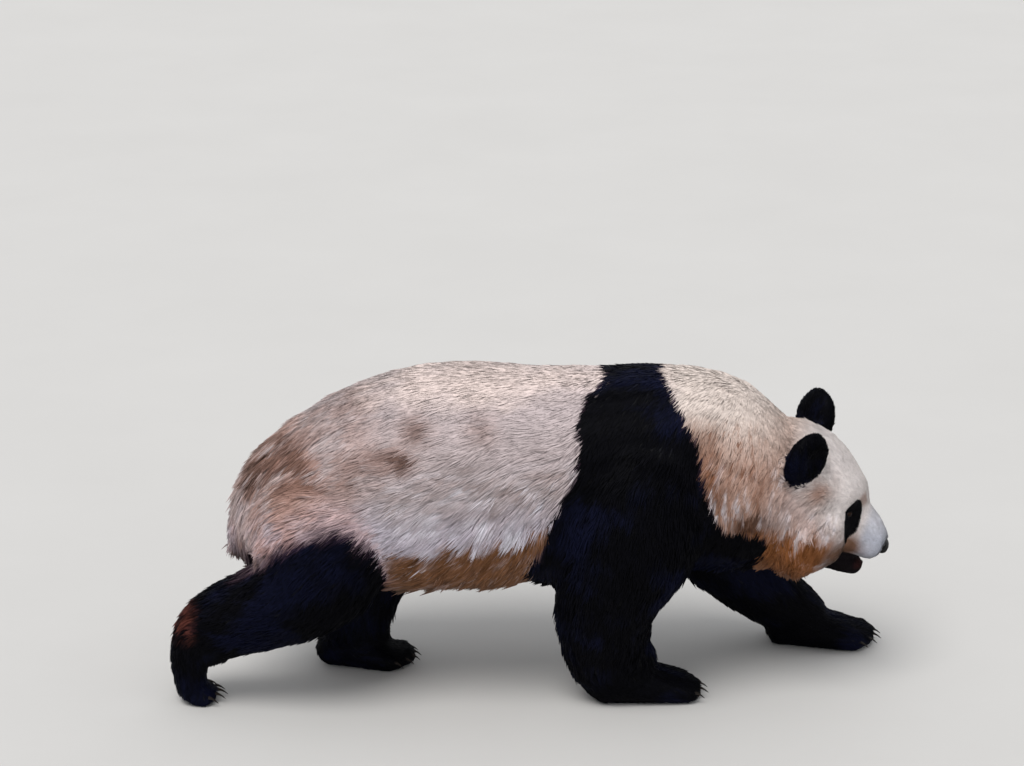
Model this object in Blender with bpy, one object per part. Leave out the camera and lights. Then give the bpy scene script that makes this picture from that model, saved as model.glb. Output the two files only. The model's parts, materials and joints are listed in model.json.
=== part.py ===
"""Giant panda, life size, in mid walk: head low, right foreleg upright, left foreleg reaching
forward, right hind leg pushing off behind and left hind leg under the belly.

Metres, +X towards the nose, +Y to the animal's left, +Z up, soles on Z = 0. The solids give the
outside of the coat. The flesh is lofted from rings, fused and smoothed as one body, and then
parted into named pieces by thin cuts.
"""

import math

import bmesh
import bpy
import numpy as np
from mathutils import Matrix, Vector
from mathutils.bvhtree import BVHTree

# Driving dimensions
GAP = 0.0003  # clearance that every cut leaves
FUSE_VOXEL = 0.0085  # grid of the remesh that fuses the lofts
RING_SIDES = 28
RINGS_PER_SPAN = 4
FLESH_TRIANGLES = 2400
SOLE_SINK = 0.006  # how far the feet are built below the floor before the soles are cut flat

# Head frame: the pivot lies between the ears and the jaw
HEAD_PIVOT = Vector((0.69, 0.0, 0.44))
HEAD_PITCH = math.radians(20)
HEAD_YAW = math.radians(-9)
HEAD_ROLL = math.radians(1.5)
EYE_RADIUS = 0.0115
EYE_PLACE = (0.056, 0.076, 0.030)  # forward, sideways, up from the pivot
EAR_PLACE = (-0.080, 0.146, 0.138)
EAR_RADIUS = 0.064
EAR_THICKNESS = 0.066

# Sections of the trunk and neck: x, top z, bottom z, half width
TRUNK_SECTIONS = (
    (-0.682, 0.414, 0.324, 0.046),
    (-0.656, 0.468, 0.280, 0.104),
    (-0.608, 0.540, 0.243, 0.160),
    (-0.536, 0.610, 0.226, 0.202),
    (-0.444, 0.672, 0.224, 0.229),
    (-0.330, 0.733, 0.236, 0.246),
    (-0.210, 0.768, 0.246, 0.253),
    (-0.090, 0.772, 0.250, 0.254),
    (0.030, 0.764, 0.268, 0.245),
    (0.170, 0.765, 0.278, 0.225),
    (0.300, 0.772, 0.276, 0.202),
    (0.420, 0.756, 0.280, 0.178),
    (0.520, 0.685, 0.292, 0.182),
    (0.600, 0.634, 0.312, 0.164),
    (0.660, 0.608, 0.350, 0.144),
    (0.715, 0.565, 0.400, 0.100),
)

# Sections of the head in its own frame: forward, top, bottom, half width
SKULL_SECTIONS = (
    (-0.185, 0.138, -0.080, 0.088),
    (-0.150, 0.164, -0.115, 0.132),
    (-0.090, 0.169, -0.136, 0.155),
    (-0.030, 0.147, -0.144, 0.165),
    (0.025, 0.112, -0.142, 0.113),
    (0.068, 0.074, -0.132, 0.074),
    (0.098, 0.046, -0.116, 0.052),
    (0.112, 0.026, -0.096, 0.036),
)
MUZZLE_SECTIONS = (
    (0.040, 0.066, -0.084, 0.068),
    (0.088, 0.045, -0.083, 0.057),
    (0.127, 0.022, -0.081, 0.052),
    (0.154, 0.001, -0.078, 0.047),
    (0.169, -0.014, -0.073, 0.038),
    (0.179, -0.029, -0.063, 0.024),
)
JAW_SECTIONS = (
    (0.010, -0.084, -0.142, 0.052),
    (0.060, -0.086, -0.146, 0.047),
    (0.104, -0.089, -0.143, 0.039),
    (0.134, -0.094, -0.138, 0.030),
    (0.149, -0.103, -0.131, 0.016),
)

# Sections of the legs, hip or shoulder first: x, y, z, half depth fore and aft, half width
FORE_RIGHT = (
    (0.275, -0.130, 0.620, 0.110, 0.080),
    (0.258, -0.155, 0.520, 0.155, 0.100),
    (0.236, -0.172, 0.410, 0.162, 0.108),
    (0.193, -0.172, 0.300, 0.133, 0.100),
    (0.178, -0.160, 0.215, 0.115, 0.092),
    (0.187, -0.146, 0.130, 0.105, 0.084),
    (0.225, -0.138, 0.060, 0.096, 0.076),
)
FORE_LEFT = (
    (0.310, 0.120, 0.620, 0.105, 0.080),
    (0.330, 0.150, 0.510, 0.140, 0.098),
    (0.370, 0.175, 0.400, 0.140, 0.102),
    (0.430, 0.190, 0.295, 0.116, 0.096),
    (0.505, 0.200, 0.200, 0.094, 0.088),
    (0.590, 0.206, 0.130, 0.081, 0.080),
    (0.665, 0.210, 0.080, 0.066, 0.072),
    (0.710, 0.210, 0.055, 0.050, 0.064),
)
HIND_RIGHT = (
    (-0.450, -0.110, 0.540, 0.130, 0.080),
    (-0.465, -0.152, 0.450, 0.178, 0.108),
    (-0.485, -0.172, 0.360, 0.168, 0.110),
    (-0.525, -0.174, 0.295, 0.132, 0.104),
    (-0.600, -0.166, 0.246, 0.106, 0.092),
    (-0.682, -0.158, 0.212, 0.095, 0.080),
    (-0.746, -0.150, 0.172, 0.082, 0.070),
    (-0.786, -0.147, 0.118, 0.053, 0.062),
    (-0.792, -0.144, 0.062, 0.039, 0.058),
    (-0.788, -0.142, 0.020, 0.034, 0.056),
)
HIND_LEFT = (
    (-0.450, 0.110, 0.530, 0.130, 0.080),
    (-0.420, 0.150, 0.440, 0.160, 0.104),
    (-0.375, 0.160, 0.350, 0.145, 0.108),
    (-0.360, 0.145, 0.265, 0.115, 0.098),
    (-0.388, 0.120, 0.180, 0.090, 0.084),
    (-0.408, 0.098, 0.105, 0.080, 0.074),
    (-0.412, 0.088, 0.050, 0.074, 0.068),
)

# Soles: heel x, heel y, length, half width, height, turn of the toes in degrees, inner side
FEET = {
    "front_right": (0.140, -0.142, 0.262, 0.068, 0.086, 6, 1),
    "front_left": (0.590, 0.222, 0.258, 0.068, 0.082, -8, -1),
    "hind_left": (-0.505, 0.092, 0.226, 0.060, 0.074, -10, -1),
}
TOES = 5
TIPTOE_BALL = Vector((-0.780, -0.142, 0.019))
CLAW_LENGTH = 0.024
CLAW_RADIUS = 0.0046

# Where each leg is parted from the trunk: the cutter is the hull of an oval, given by its centre,
# radii and pitch in degrees, and of a box round the paw, given by its least and most corners
LEG_CUTTERS = {
    "front_right": ((0.185, -0.315, 0.180), (0.245, 0.255, 0.420), 8, (0.06, -0.32), (0.47, -0.02)),
    "front_left": ((0.600, 0.320, 0.160), (0.440, 0.250, 0.180), 31, (0.50, 0.06), (0.95, 0.36)),
    "hind_right": ((-0.640, -0.330, 0.215), (0.330, 0.262, 0.270), -16, (-0.92, -0.32), (-0.66, -0.02)),
    "hind_left": ((-0.385, 0.260, 0.140), (0.210, 0.270, 0.330), 0, (-0.58, 0.0), (-0.20, 0.24)),
}
PAW_BOX_HEIGHT = 0.10

# Cuts across each leg, knee or elbow first and then the wrist or heel: a point and the way up
JOINT_CUTS = {
    "front_right": (((0.19, -0.16, 0.245), (-0.10, 0, 1)), ((0.21, -0.14, 0.088), (-0.10, 0, 1))),
    "front_left": (((0.475, 0.2, 0.235), (-0.62, 0, 0.78)), ((0.645, 0.2, 0.092), (-0.84, 0, 0.54))),
    "hind_right": (((-0.545, -0.17, 0.26), (0.93, 0, 0.36)), ((-0.75, -0.15, 0.15), (0.5, 0, 0.86))),
    "hind_left": (((-0.37, 0.15, 0.240), (0.10, 0, 1)), ((-0.410, 0.10, 0.084), (-0.10, 0, 1))),
}

# Cuts across the trunk from the tail to the nose: the piece behind, a point and the way ahead
TRUNK_CUTS = (
    ("hindquarters", (-0.30, 0, 0.5), (1, 0, 0)),
    ("belly", (0.05, 0, 0.5), (1, 0, 0)),
    ("chest", (0.425, 0, 0.5), (0.96, 0, -0.28)),
    ("neck", (0.575, 0, 0.45), (0.98, 0, -0.20)),
)

COLOURS = {
    "cream_fur": ((0.72, 0.60, 0.46, 1.0), 0.85),
    "black_fur": ((0.012, 0.012, 0.016, 1.0), 0.80),
    "eye": ((0.015, 0.010, 0.008, 1.0), 0.08),
    "nose_leather": ((0.020, 0.018, 0.020, 1.0), 0.35),
    "claw_horn": ((0.10, 0.085, 0.070, 1.0), 0.40),
}


# ---- Scene and materials


def clear_scene():
    for old in list(bpy.data.objects):
        bpy.data.objects.remove(old, do_unlink=True)


def material(name):
    found = bpy.data.materials.get(name)
    if found:
        return found
    colour, roughness = COLOURS[name]
    made = bpy.data.materials.new(name)
    made.use_nodes = True
    shader = made.node_tree.nodes["Principled BSDF"]
    shader.inputs["Base Color"].default_value = colour
    shader.inputs["Roughness"].default_value = roughness
    made.diffuse_color = colour
    return made


def new_object(name, bm):
    """Links an object whose mesh is taken from bm, in triangles that point out."""
    bmesh.ops.triangulate(bm, faces=bm.faces)
    bmesh.ops.recalc_face_normals(bm, faces=bm.faces)
    mesh = bpy.data.meshes.new(name)
    bm.to_mesh(mesh)
    bm.free()
    made = bpy.data.objects.new(name, mesh)
    bpy.context.scene.collection.objects.link(made)
    return made


def drop(*objects):
    for each in objects:
        bpy.data.objects.remove(each, do_unlink=True)


def apply_modifiers(obj):
    graph = bpy.context.evaluated_depsgraph_get()
    mesh = bpy.data.meshes.new_from_object(obj.evaluated_get(graph), depsgraph=graph)
    obj.modifiers.clear()
    obj.data = mesh


def dress(obj, name):
    obj.data.materials.clear()
    obj.data.materials.append(material(name))


# ---- Lofts


def smooth_rows(rows, steps):
    """Catmull-Rom rows between the given sections."""
    rows = np.array(rows, float)
    ends = np.vstack([2 * rows[0] - rows[1], rows, 2 * rows[-1] - rows[-2]])
    made = []
    for i in range(1, len(ends) - 2):
        before, start, end, after = ends[i - 1 : i + 3]
        for t in np.arange(steps) / steps:
            made.append(
                0.5 * (2 * start + (end - before) * t)
                + 0.5 * (2 * before - 5 * start + 4 * end - after) * t**2
                + 0.5 * (3 * start - before - 3 * end + after) * t**3
            )
    return np.array(made + [rows[-1]])


def superellipse(angle, fullness):
    """A unit section's point: fullness 2 is round, more is squarer."""
    cosine, sine = math.cos(angle), math.sin(angle)
    power = 2 / fullness
    return (
        math.copysign(abs(cosine) ** power, cosine),
        math.copysign(abs(sine) ** power, sine),
    )


def loft(name, centres, widths, heights, fullness=2.15, sides=RING_SIDES):
    """A closed tube through ring centres; widths lie along Y, heights across the path."""
    side = Vector((0, 1, 0))
    bm = bmesh.new()
    rings = []
    for i, centre in enumerate(centres):
        ahead = centres[min(i + 1, len(centres) - 1)]
        behind = centres[max(i - 1, 0)]
        along = (ahead - behind).normalized()
        across = (side - along * side.dot(along)).normalized()
        up = along.cross(across)
        ring = []
        for k in range(sides):
            a, b = superellipse(2 * math.pi * k / sides, fullness)
            ring.append(bm.verts.new(centre + across * a * widths[i] + up * b * heights[i]))
        rings.append(ring)
    for ring, following in zip(rings, rings[1:]):
        for k in range(sides):
            after = (k + 1) % sides
            bm.faces.new((ring[k], ring[after], following[after], following[k]))
    bm.faces.new(rings[0])
    bm.faces.new(rings[-1])
    return new_object(name, bm)


def section_loft(name, sections, place, fullness=2.2, sides=RING_SIDES, steps=RINGS_PER_SPAN):
    """A loft from rows of forward, top, bottom and half width, set by a matrix."""
    rows = smooth_rows(sections, steps)
    centres = [Vector((x, 0, (top + low) / 2)) for x, top, low, _ in rows]
    made = loft(name, centres, rows[:, 3], (rows[:, 1] - rows[:, 2]) / 2, fullness, sides)
    made.data.transform(place)
    return made


def limb_loft(name, sections):
    rows = smooth_rows(sections, RINGS_PER_SPAN)
    return loft(name, [Vector(row[:3]) for row in rows], rows[:, 4], rows[:, 3], 2.1)


def ellipsoid(name, centre, radii, place=Matrix.Identity(4), detail=20):
    bm = bmesh.new()
    bmesh.ops.create_uvsphere(bm, u_segments=detail, v_segments=detail // 2, radius=1)
    made = new_object(name, bm)
    made.data.transform(place @ Matrix.Translation(centre) @ Matrix.Diagonal((*radii, 1)))
    return made


# ---- Frames


def head_frame():
    """Carries the head's own axes, x forward and z up, into the model."""
    return (
        Matrix.Translation(HEAD_PIVOT)
        @ Matrix.Rotation(HEAD_YAW, 4, "Z")
        @ Matrix.Rotation(HEAD_PITCH, 4, "Y")
        @ Matrix.Rotation(HEAD_ROLL, 4, "X")
    )


def foot_frame(foot):
    """The heel on the floor, x towards the toes."""
    heel_x, heel_y, _, _, _, turn, _ = FEET[foot]
    return Matrix.Translation((heel_x, heel_y, 0)) @ Matrix.Rotation(math.radians(turn), 4, "Z")


def toe_frames(foot):
    """One frame for each toe, at the middle of its lobe, x towards its tip."""
    fan = np.linspace(-1, 1, TOES)
    if foot == "hind_right":
        base = Matrix.Translation(TIPTOE_BALL)
        length, half_width, lift, turn_in = 0.0, 0.056, 0.0, 1
        reach = 0.020
    else:
        _, _, length, half_width, _, _, turn_in = FEET[foot]
        base = foot_frame(foot)
        lift, reach = 0.024, -0.030
    made = []
    for offset in fan:
        bow = 0.022 * (1 - offset**2) - 0.006 * offset * turn_in
        place = Matrix.Translation((length + reach - 0.016 + bow, offset * half_width * 0.80, lift))
        made.append(base @ place @ Matrix.Rotation(math.radians(12 * offset), 4, "Z"))
    return made


# ---- The flesh


def sole(foot):
    """The paw from heel to ball, before its toes."""
    _, _, length, half_width, height, _, _ = FEET[foot]
    shares = (
        (0.00, 0.62, 0.10, 0.55),
        (0.07, 0.92, -0.04, 0.86),
        (0.28, 1.22, -0.08, 1.00),
        (0.52, 1.00, -0.08, 1.06),
        (0.74, 0.76, -0.08, 1.08),
        (0.88, 0.60, -0.06, 0.98),
        (0.94, 0.42, 0.06, 0.74),
    )
    sections = [(x * length, top * height, low * height, w * half_width) for x, top, low, w in shares]
    return section_loft("sole", sections, foot_frame(foot), 2.4)


def toe_lobes(foot):
    size = (0.036, 0.0165, 0.026) if foot != "hind_right" else (0.032, 0.0150, 0.023)
    return [ellipsoid("toe", (0, 0, 0), size, frame, 16) for frame in toe_frames(foot)]


def build_lofts():
    """All overlapping masses of the flesh, outside the jaw, ears and tail."""
    head = head_frame()
    made = [
        section_loft("trunk", TRUNK_SECTIONS, Matrix.Identity(4), 2.25),
        section_loft("skull", SKULL_SECTIONS, head, 2.15),
        section_loft("muzzle", MUZZLE_SECTIONS, head, 2.3),
        limb_loft("fore_right", FORE_RIGHT),
        limb_loft("fore_left", FORE_LEFT),
        limb_loft("hind_right", HIND_RIGHT),
        limb_loft("hind_left", HIND_LEFT),
        ellipsoid("withers", (0.27, 0, 0.56), (0.17, 0.19, 0.205)),
        ellipsoid("croup", (-0.42, 0, 0.45), (0.23, 0.235, 0.235)),
    ]
    for side in (-1, 1):
        made.append(ellipsoid("cheek", (-0.008, side * 0.096, -0.046), (0.096, 0.086, 0.098), head))
        made.append(ellipsoid("brow", (0.028, side * 0.058, 0.060), (0.050, 0.050, 0.046), head))
        made.append(ellipsoid("flews", (0.128, side * 0.024, -0.056), (0.048, 0.034, 0.026), head))
    for foot in FEET:
        made.append(sole(foot))
    for foot in (*FEET, "hind_right"):
        made.extend(toe_lobes(foot))
    return made


def detail_weight(point, head_inverse):
    """1 where the form stays crisp: the toes and the front of the face."""
    local = head_inverse @ point
    face = min(max((local.x - 0.06) / 0.06, 0), 1) if local.length < 0.3 else 0
    toes = min(max((0.085 - point.z) / 0.04, 0), 1)
    return max(face, toes)


def fuse(objects, name, voxel, rounds):
    """One skin round all the given solids, its seams melted by smoothing."""
    bm = bmesh.new()
    for each in objects:
        bm.from_mesh(each.data)
    drop(*objects)
    body = new_object(name, bm)
    remesh = body.modifiers.new("fuse", "REMESH")
    remesh.mode = "VOXEL"
    remesh.voxel_size = voxel
    apply_modifiers(body)
    soft = body.vertex_groups.new(name="soft")
    head_inverse = head_frame().inverted()
    for vertex in body.data.vertices:
        soft.add([vertex.index], 1 - 0.88 * detail_weight(vertex.co, head_inverse), "REPLACE")
    smooth = body.modifiers.new("melt", "SMOOTH")
    smooth.factor = 0.5
    smooth.iterations = rounds
    smooth.vertex_group = "soft"
    apply_modifiers(body)
    body.vertex_groups.clear()
    return body


def decimate(obj, triangles):
    obj.data.calc_loop_triangles()
    thin = obj.modifiers.new("thin", "DECIMATE")
    thin.ratio = min(1.0, triangles / len(obj.data.loop_triangles))
    obj.modifiers.new("flat_faces", "TRIANGULATE")
    apply_modifiers(obj)


# ---- Cuts


def keep_side(obj, name, point, normal):
    """A copy of obj on the side that normal points away from, closed flat, half the gap back."""
    bm = bmesh.new()
    bm.from_mesh(obj.data)
    normal = Vector(normal).normalized()
    at = Vector(point) - normal * (GAP / 2)
    geometry = [*bm.verts, *bm.edges, *bm.faces]
    bmesh.ops.bisect_plane(
        bm, geom=geometry, dist=1e-6, plane_co=at, plane_no=normal, clear_outer=True
    )
    rim = [e for e in bm.edges if e.is_boundary]
    bmesh.ops.triangle_fill(bm, edges=rim, use_beauty=True, normal=normal)
    return new_object(name, bm)


def part_by_plane(obj, point, normal, behind, ahead):
    """Splits obj by a thin plane cut into the piece behind it and the piece ahead of it."""
    flipped = [-n for n in normal]
    pieces = (keep_side(obj, behind, point, normal), keep_side(obj, ahead, point, flipped))
    drop(obj)
    return pieces


def boolean(obj, cutter, operation):
    cut = obj.modifiers.new("cut", "BOOLEAN")
    cut.operation = operation
    cut.object = cutter
    cut.solver = "EXACT"
    apply_modifiers(obj)


def copied(obj, name):
    made = bpy.data.objects.new(name, obj.data.copy())
    bpy.context.scene.collection.objects.link(made)
    return made


def grown(obj, distance):
    """A copy whose surface lies outside obj by the given distance."""
    made = copied(obj, "grown")
    normals = [v.normal.copy() for v in made.data.vertices]
    for vertex, normal in zip(made.data.vertices, normals):
        vertex.co += normal * distance
    return made


def largest_body(obj):
    """Deletes all but the biggest closed body of a mesh."""
    bm = bmesh.new()
    bm.from_mesh(obj.data)
    left, bodies = set(bm.verts), []
    while left:
        stack, body = [left.pop()], set()
        while stack:
            vertex = stack.pop()
            body.add(vertex)
            for edge in vertex.link_edges:
                other = edge.other_vert(vertex)
                if other in left:
                    left.remove(other)
                    stack.append(other)
        bodies.append(body)
    keep = max(bodies, key=len)
    bmesh.ops.delete(bm, geom=[v for v in bm.verts if v not in keep], context="VERTS")
    bm.to_mesh(obj.data)
    bm.free()


def sit_on(obj, body):
    """Trims a piece where it would enter the body, leaving the gap."""
    cutter = grown(body, 2 * GAP)
    boolean(obj, cutter, "DIFFERENCE")
    drop(cutter)
    largest_body(obj)


def leg_cutter(leg, margin):
    """One leg's cutter, its oval and its box both larger by the margin."""
    centre, radii, pitch, least, most = LEG_CUTTERS[leg]
    place = Matrix.Translation(centre) @ Matrix.Rotation(math.radians(pitch), 4, "Y")
    ball = bmesh.new()
    bmesh.ops.create_uvsphere(ball, u_segments=20, v_segments=10, radius=1)
    size = Matrix.Diagonal((*[r + margin for r in radii], 1))
    points = [place @ size @ vertex.co for vertex in ball.verts]
    ball.free()
    for x in (least[0] - margin, most[0] + margin):
        for y in (least[1] - margin, most[1] + margin):
            for z in (-0.05, PAW_BOX_HEIGHT + margin):
                points.append(Vector((x, y, z)))
    bm = bmesh.new()
    for point in points:
        bm.verts.new(point)
    bmesh.ops.convex_hull(bm, input=bm.verts)
    bmesh.ops.delete(bm, geom=[v for v in bm.verts if not v.link_faces], context="VERTS")
    return new_object("cutter", bm)


def part_leg(trunk, leg):
    """Takes one whole leg off the trunk and returns it."""
    taken = copied(trunk, leg)
    inner = leg_cutter(leg, 0)
    outer = leg_cutter(leg, GAP)
    boolean(taken, inner, "INTERSECT")
    boolean(trunk, outer, "DIFFERENCE")
    drop(inner, outer)
    largest_body(taken)
    largest_body(trunk)
    return taken


def pocket(flesh, piece):
    """Makes room for a piece in the flesh, with the gap all round."""
    cutter = grown(piece, GAP)
    boolean(flesh, cutter, "DIFFERENCE")
    drop(cutter)
    largest_body(flesh)


# ---- Pieces on the flesh


def ear(side, name):
    """A thick round shell, hollowed in front, leaning out from the crown."""
    forward, sideways, up = EAR_PLACE
    place = (
        head_frame()
        @ Matrix.Translation((forward, side * sideways, up))
        @ Matrix.Rotation(math.radians(-10) * side, 4, "X")
        @ Matrix.Rotation(math.radians(-7), 4, "Y")
        @ Matrix.Rotation(math.radians(38) * side, 4, "Z")
    )
    radii = (EAR_THICKNESS / 2, EAR_RADIUS, EAR_RADIUS * 1.1)
    shell = ellipsoid(name, (0, 0, 0), radii, place, 14)
    bowl = ellipsoid("bowl", (0.034, 0, 0.016), (0.018, 0.034, 0.034), place, 12)
    boolean(shell, bowl, "DIFFERENCE")
    drop(bowl)
    return shell


def eye(side, name, head):
    """A ball sunk in the face, found by looking in at the socket from ahead and outside."""
    frame = head_frame()
    forward, sideways, up = EYE_PLACE
    inside = frame @ Vector((forward - 0.05, side * (sideways - 0.035), up - 0.012))
    outward = (frame @ Vector((forward, side * sideways, up)) - inside).normalized()
    tree = BVHTree.FromObject(head, bpy.context.evaluated_depsgraph_get())
    surface = tree.ray_cast(inside + outward * 0.3, -outward)[0]
    centre = surface - outward * EYE_RADIUS * 0.70
    return ellipsoid(name, centre, [EYE_RADIUS] * 3, detail=10)


def tail():
    """Short and broad, pressed to the rump."""
    path = ((-0.608, 0.556), (-0.640, 0.508), (-0.662, 0.450), (-0.677, 0.388), (-0.692, 0.328))
    centres = [Vector((x, 0, z)) for x, z in path]
    thickness = (0.026, 0.028, 0.030, 0.030, 0.018)
    return loft("tail", centres, (0.036, 0.044, 0.048, 0.043, 0.022), thickness, 2, 14)


def nose_pad():
    """The wide leather pad over the tip of the muzzle."""
    return ellipsoid("nose", (0.169, 0, -0.044), (0.0185, 0.0275, 0.0185), head_frame(), 14)


def claw(frame, name, droop):
    """A tapered hook out of the tip of one toe."""
    centres, sizes = [], []
    for t in np.linspace(0, 1, 4):
        centres.append(Vector((0.024 + CLAW_LENGTH * t, 0, 0.004 - droop * t * t)))
        sizes.append(CLAW_RADIUS * (1 - 0.86 * t))
    made = loft(name, centres, [0.75 * size for size in sizes], sizes, 2, 5)
    made.data.transform(frame)
    return made


# ---- The panda


def centre_in_plan(objects):
    """Moves every mesh so that the box round them all is centred on X = 0 and Y = 0."""
    corners = np.array([v.co[:2] for each in objects for v in each.data.vertices])
    middle = (corners.min(axis=0) + corners.max(axis=0)) / 2
    for each in objects:
        each.data.transform(Matrix.Translation((-middle[0], -middle[1], 0)))


def build():
    clear_scene()
    flesh = fuse(build_lofts(), "flesh", FUSE_VOXEL, 14)
    decimate(flesh, FLESH_TRIANGLES)
    flat = keep_side(flesh, "flat", (0, 0, -GAP / 2), (0, 0, -1))
    drop(flesh)
    whole_body = copied(flat, "whole_body")

    black = []
    for leg, (joint, ankle) in JOINT_CUTS.items():
        whole = part_leg(flat, leg)
        lower, upper = part_by_plane(whole, *joint, "lower", f"{leg}_upper_leg")
        paw, shank = part_by_plane(lower, *ankle, f"{leg}_paw", f"{leg}_lower_leg")
        for number, frame in enumerate(toe_frames(leg)):
            nail = claw(frame, f"{leg}_claw_{number + 1}", 0.012)
            pocket(paw, nail)
            dress(nail, "claw_horn")
        black.extend((upper, shank, paw))

    front, pale = flat, []
    for name, point, ahead in TRUNK_CUTS:
        rear, front = part_by_plane(front, point, ahead, name, "front")
        pale.append(rear)
    head = front
    head.name = "head"

    jaw = section_loft("lower_jaw", JAW_SECTIONS, head_frame(), 2.2, 14, 2)
    nose = nose_pad()
    eyes = [eye(side, name, head) for side, name in ((-1, "eye_right"), (1, "eye_left"))]
    for piece in (jaw, nose, *eyes):
        pocket(head, piece)
    back_tail = tail()
    ears = [ear(side, name) for side, name in ((-1, "ear_right"), (1, "ear_left"))]
    for each in (back_tail, *ears):
        sit_on(each, whole_body)
    drop(whole_body)

    hindquarters, belly, chest, neck = pale
    for piece in (hindquarters, belly, neck, head, jaw, back_tail):
        dress(piece, "cream_fur")
    for piece in (*black, chest, *ears):
        dress(piece, "black_fur")
    for piece in eyes:
        dress(piece, "eye")
    dress(nose, "nose_leather")
    centre_in_plan(bpy.context.scene.objects)


build()
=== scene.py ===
import json
import math

import bpy
import numpy as np
from mathutils import Matrix, Vector
from mathutils.bvhtree import BVHTree
from mathutils.kdtree import KDTree

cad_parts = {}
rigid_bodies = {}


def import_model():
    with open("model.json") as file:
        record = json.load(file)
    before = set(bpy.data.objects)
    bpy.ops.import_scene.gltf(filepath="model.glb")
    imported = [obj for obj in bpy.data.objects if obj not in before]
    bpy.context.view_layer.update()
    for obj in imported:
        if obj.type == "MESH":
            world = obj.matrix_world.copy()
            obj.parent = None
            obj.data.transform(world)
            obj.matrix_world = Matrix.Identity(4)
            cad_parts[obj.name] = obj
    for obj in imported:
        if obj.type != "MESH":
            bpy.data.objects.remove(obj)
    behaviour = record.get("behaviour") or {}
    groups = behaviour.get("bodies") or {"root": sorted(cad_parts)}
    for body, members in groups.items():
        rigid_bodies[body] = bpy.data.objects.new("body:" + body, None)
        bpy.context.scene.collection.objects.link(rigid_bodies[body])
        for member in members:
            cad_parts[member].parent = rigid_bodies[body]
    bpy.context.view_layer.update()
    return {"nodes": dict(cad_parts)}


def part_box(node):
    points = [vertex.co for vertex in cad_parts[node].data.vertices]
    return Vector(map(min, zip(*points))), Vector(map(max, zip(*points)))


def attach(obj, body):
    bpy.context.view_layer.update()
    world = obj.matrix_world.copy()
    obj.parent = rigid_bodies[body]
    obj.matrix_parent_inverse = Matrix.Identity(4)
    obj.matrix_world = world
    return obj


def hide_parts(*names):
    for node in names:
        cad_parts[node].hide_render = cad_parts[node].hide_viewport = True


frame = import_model()
scene = bpy.context.scene
dice = np.random.default_rng(7)


def deselectAll():
    for each in scene.objects:
        each.select_set(False)


def pick(piece):
    deselectAll()
    piece.select_set(True)
    bpy.context.view_layer.objects.active = piece


def applyModifiers(piece):
    pick(piece)
    for modifier in list(piece.modifiers):
        bpy.ops.object.modifier_apply(modifier=modifier.name)


def tint(red, green, blue):
    # a colour as on a paint chart, 0 to 255, turned to linear light
    values = np.array([red, green, blue]) / 255
    return np.where(values < 0.04045, values / 12.92, ((values + 0.055) / 1.055) ** 2.4)


def unit(vectors):
    vectors = np.asarray(vectors, float)
    return vectors / np.maximum(np.linalg.norm(vectors, axis=-1, keepdims=True), 1e-9)


def ramp(values, low, high):
    # 0 before low, 1 past high, smooth between; low may be above high
    share = np.clip((values - low) / (high - low), 0, 1)
    return share * share * (3 - 2 * share)


def mixed(first, second, share):
    share = np.asarray(share)[..., None]
    return first * (1 - share) + second * share


def waves(points, scale, seed, octaves=3):
    # a soft random field between about -1 and 1, its patches about scale across
    draw = np.random.default_rng(seed)
    total = np.zeros(len(points))
    for octave in range(octaves):
        turn = unit(draw.normal(size=(14, 3))) * (2.2 / scale * 2**octave) * draw.uniform(0.6, 1.4, (14, 1))
        phase = draw.uniform(0, 6.283, 14)
        total += np.sin(points @ turn.T + phase).sum(axis=1) / 14**0.5 / 1.6**octave
    return total / 1.6


def meshArrays(mesh):
    points = np.empty(len(mesh.vertices) * 3)
    mesh.vertices.foreach_get("co", points)
    normals = np.empty(len(mesh.vertices) * 3)
    mesh.vertices.foreach_get("normal", normals)
    return points.reshape(-1, 3), normals.reshape(-1, 3)


def writeColour(mesh, name, colour):
    layer = mesh.color_attributes.new(name, "FLOAT_COLOR", "POINT")
    layer.data.foreach_set("color", np.column_stack([np.clip(colour, 0, 1), np.ones(len(colour))]).ravel())


def boxCentre(node):
    low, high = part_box(node)
    return (Vector(low) + Vector(high)) / 2


# the head's own frame, x forward, y to its left, z up, from its turn and the nose
headSetting = {"pitch": 20, "yaw": -9, "roll": 1.5, "noseForward": 0.169, "noseUp": -0.044}
headTurn = (
    Matrix.Rotation(math.radians(headSetting["yaw"]), 4, "Z")
    @ Matrix.Rotation(math.radians(headSetting["pitch"]), 4, "Y")
    @ Matrix.Rotation(math.radians(headSetting["roll"]), 4, "X")
)
noseCentre = boxCentre("nose")
headPivot = noseCentre - headTurn @ Vector((headSetting["noseForward"], 0, headSetting["noseUp"]))
headAxes = np.array(headTurn.to_3x3())


def inHead(points):
    return (points - np.array(headPivot)) @ headAxes


eyeSetting = {
    "radius": 0.0115, "cornea": 0.0007,
    "gaze": (0.75, 0.64, 0.08),  # forward, outward, up
    "corner": 45, "upper": 30, "lower": 27,  # how far the lids open, in degrees from the gaze
    "lid": 0.0012, "rim": 0.0006, "crease": 0.0007,  # thickness, height of the rim, depth of the crease
    "rimAt": 1.12, "creaseAt": 1.55, "tuck": 0.80,  # shares of the opening, share of the radius
}
sides = {"right": -1, "left": 1}
eyeCentres = {side: np.array(boxCentre("eye_" + side)) for side in sides}
eyesInHead = {side: inHead(centre[None])[0] for side, centre in eyeCentres.items()}
print("head at", [round(v, 3) for v in headPivot], {k: v.round(3).tolist() for k, v in eyesInHead.items()})


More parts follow.
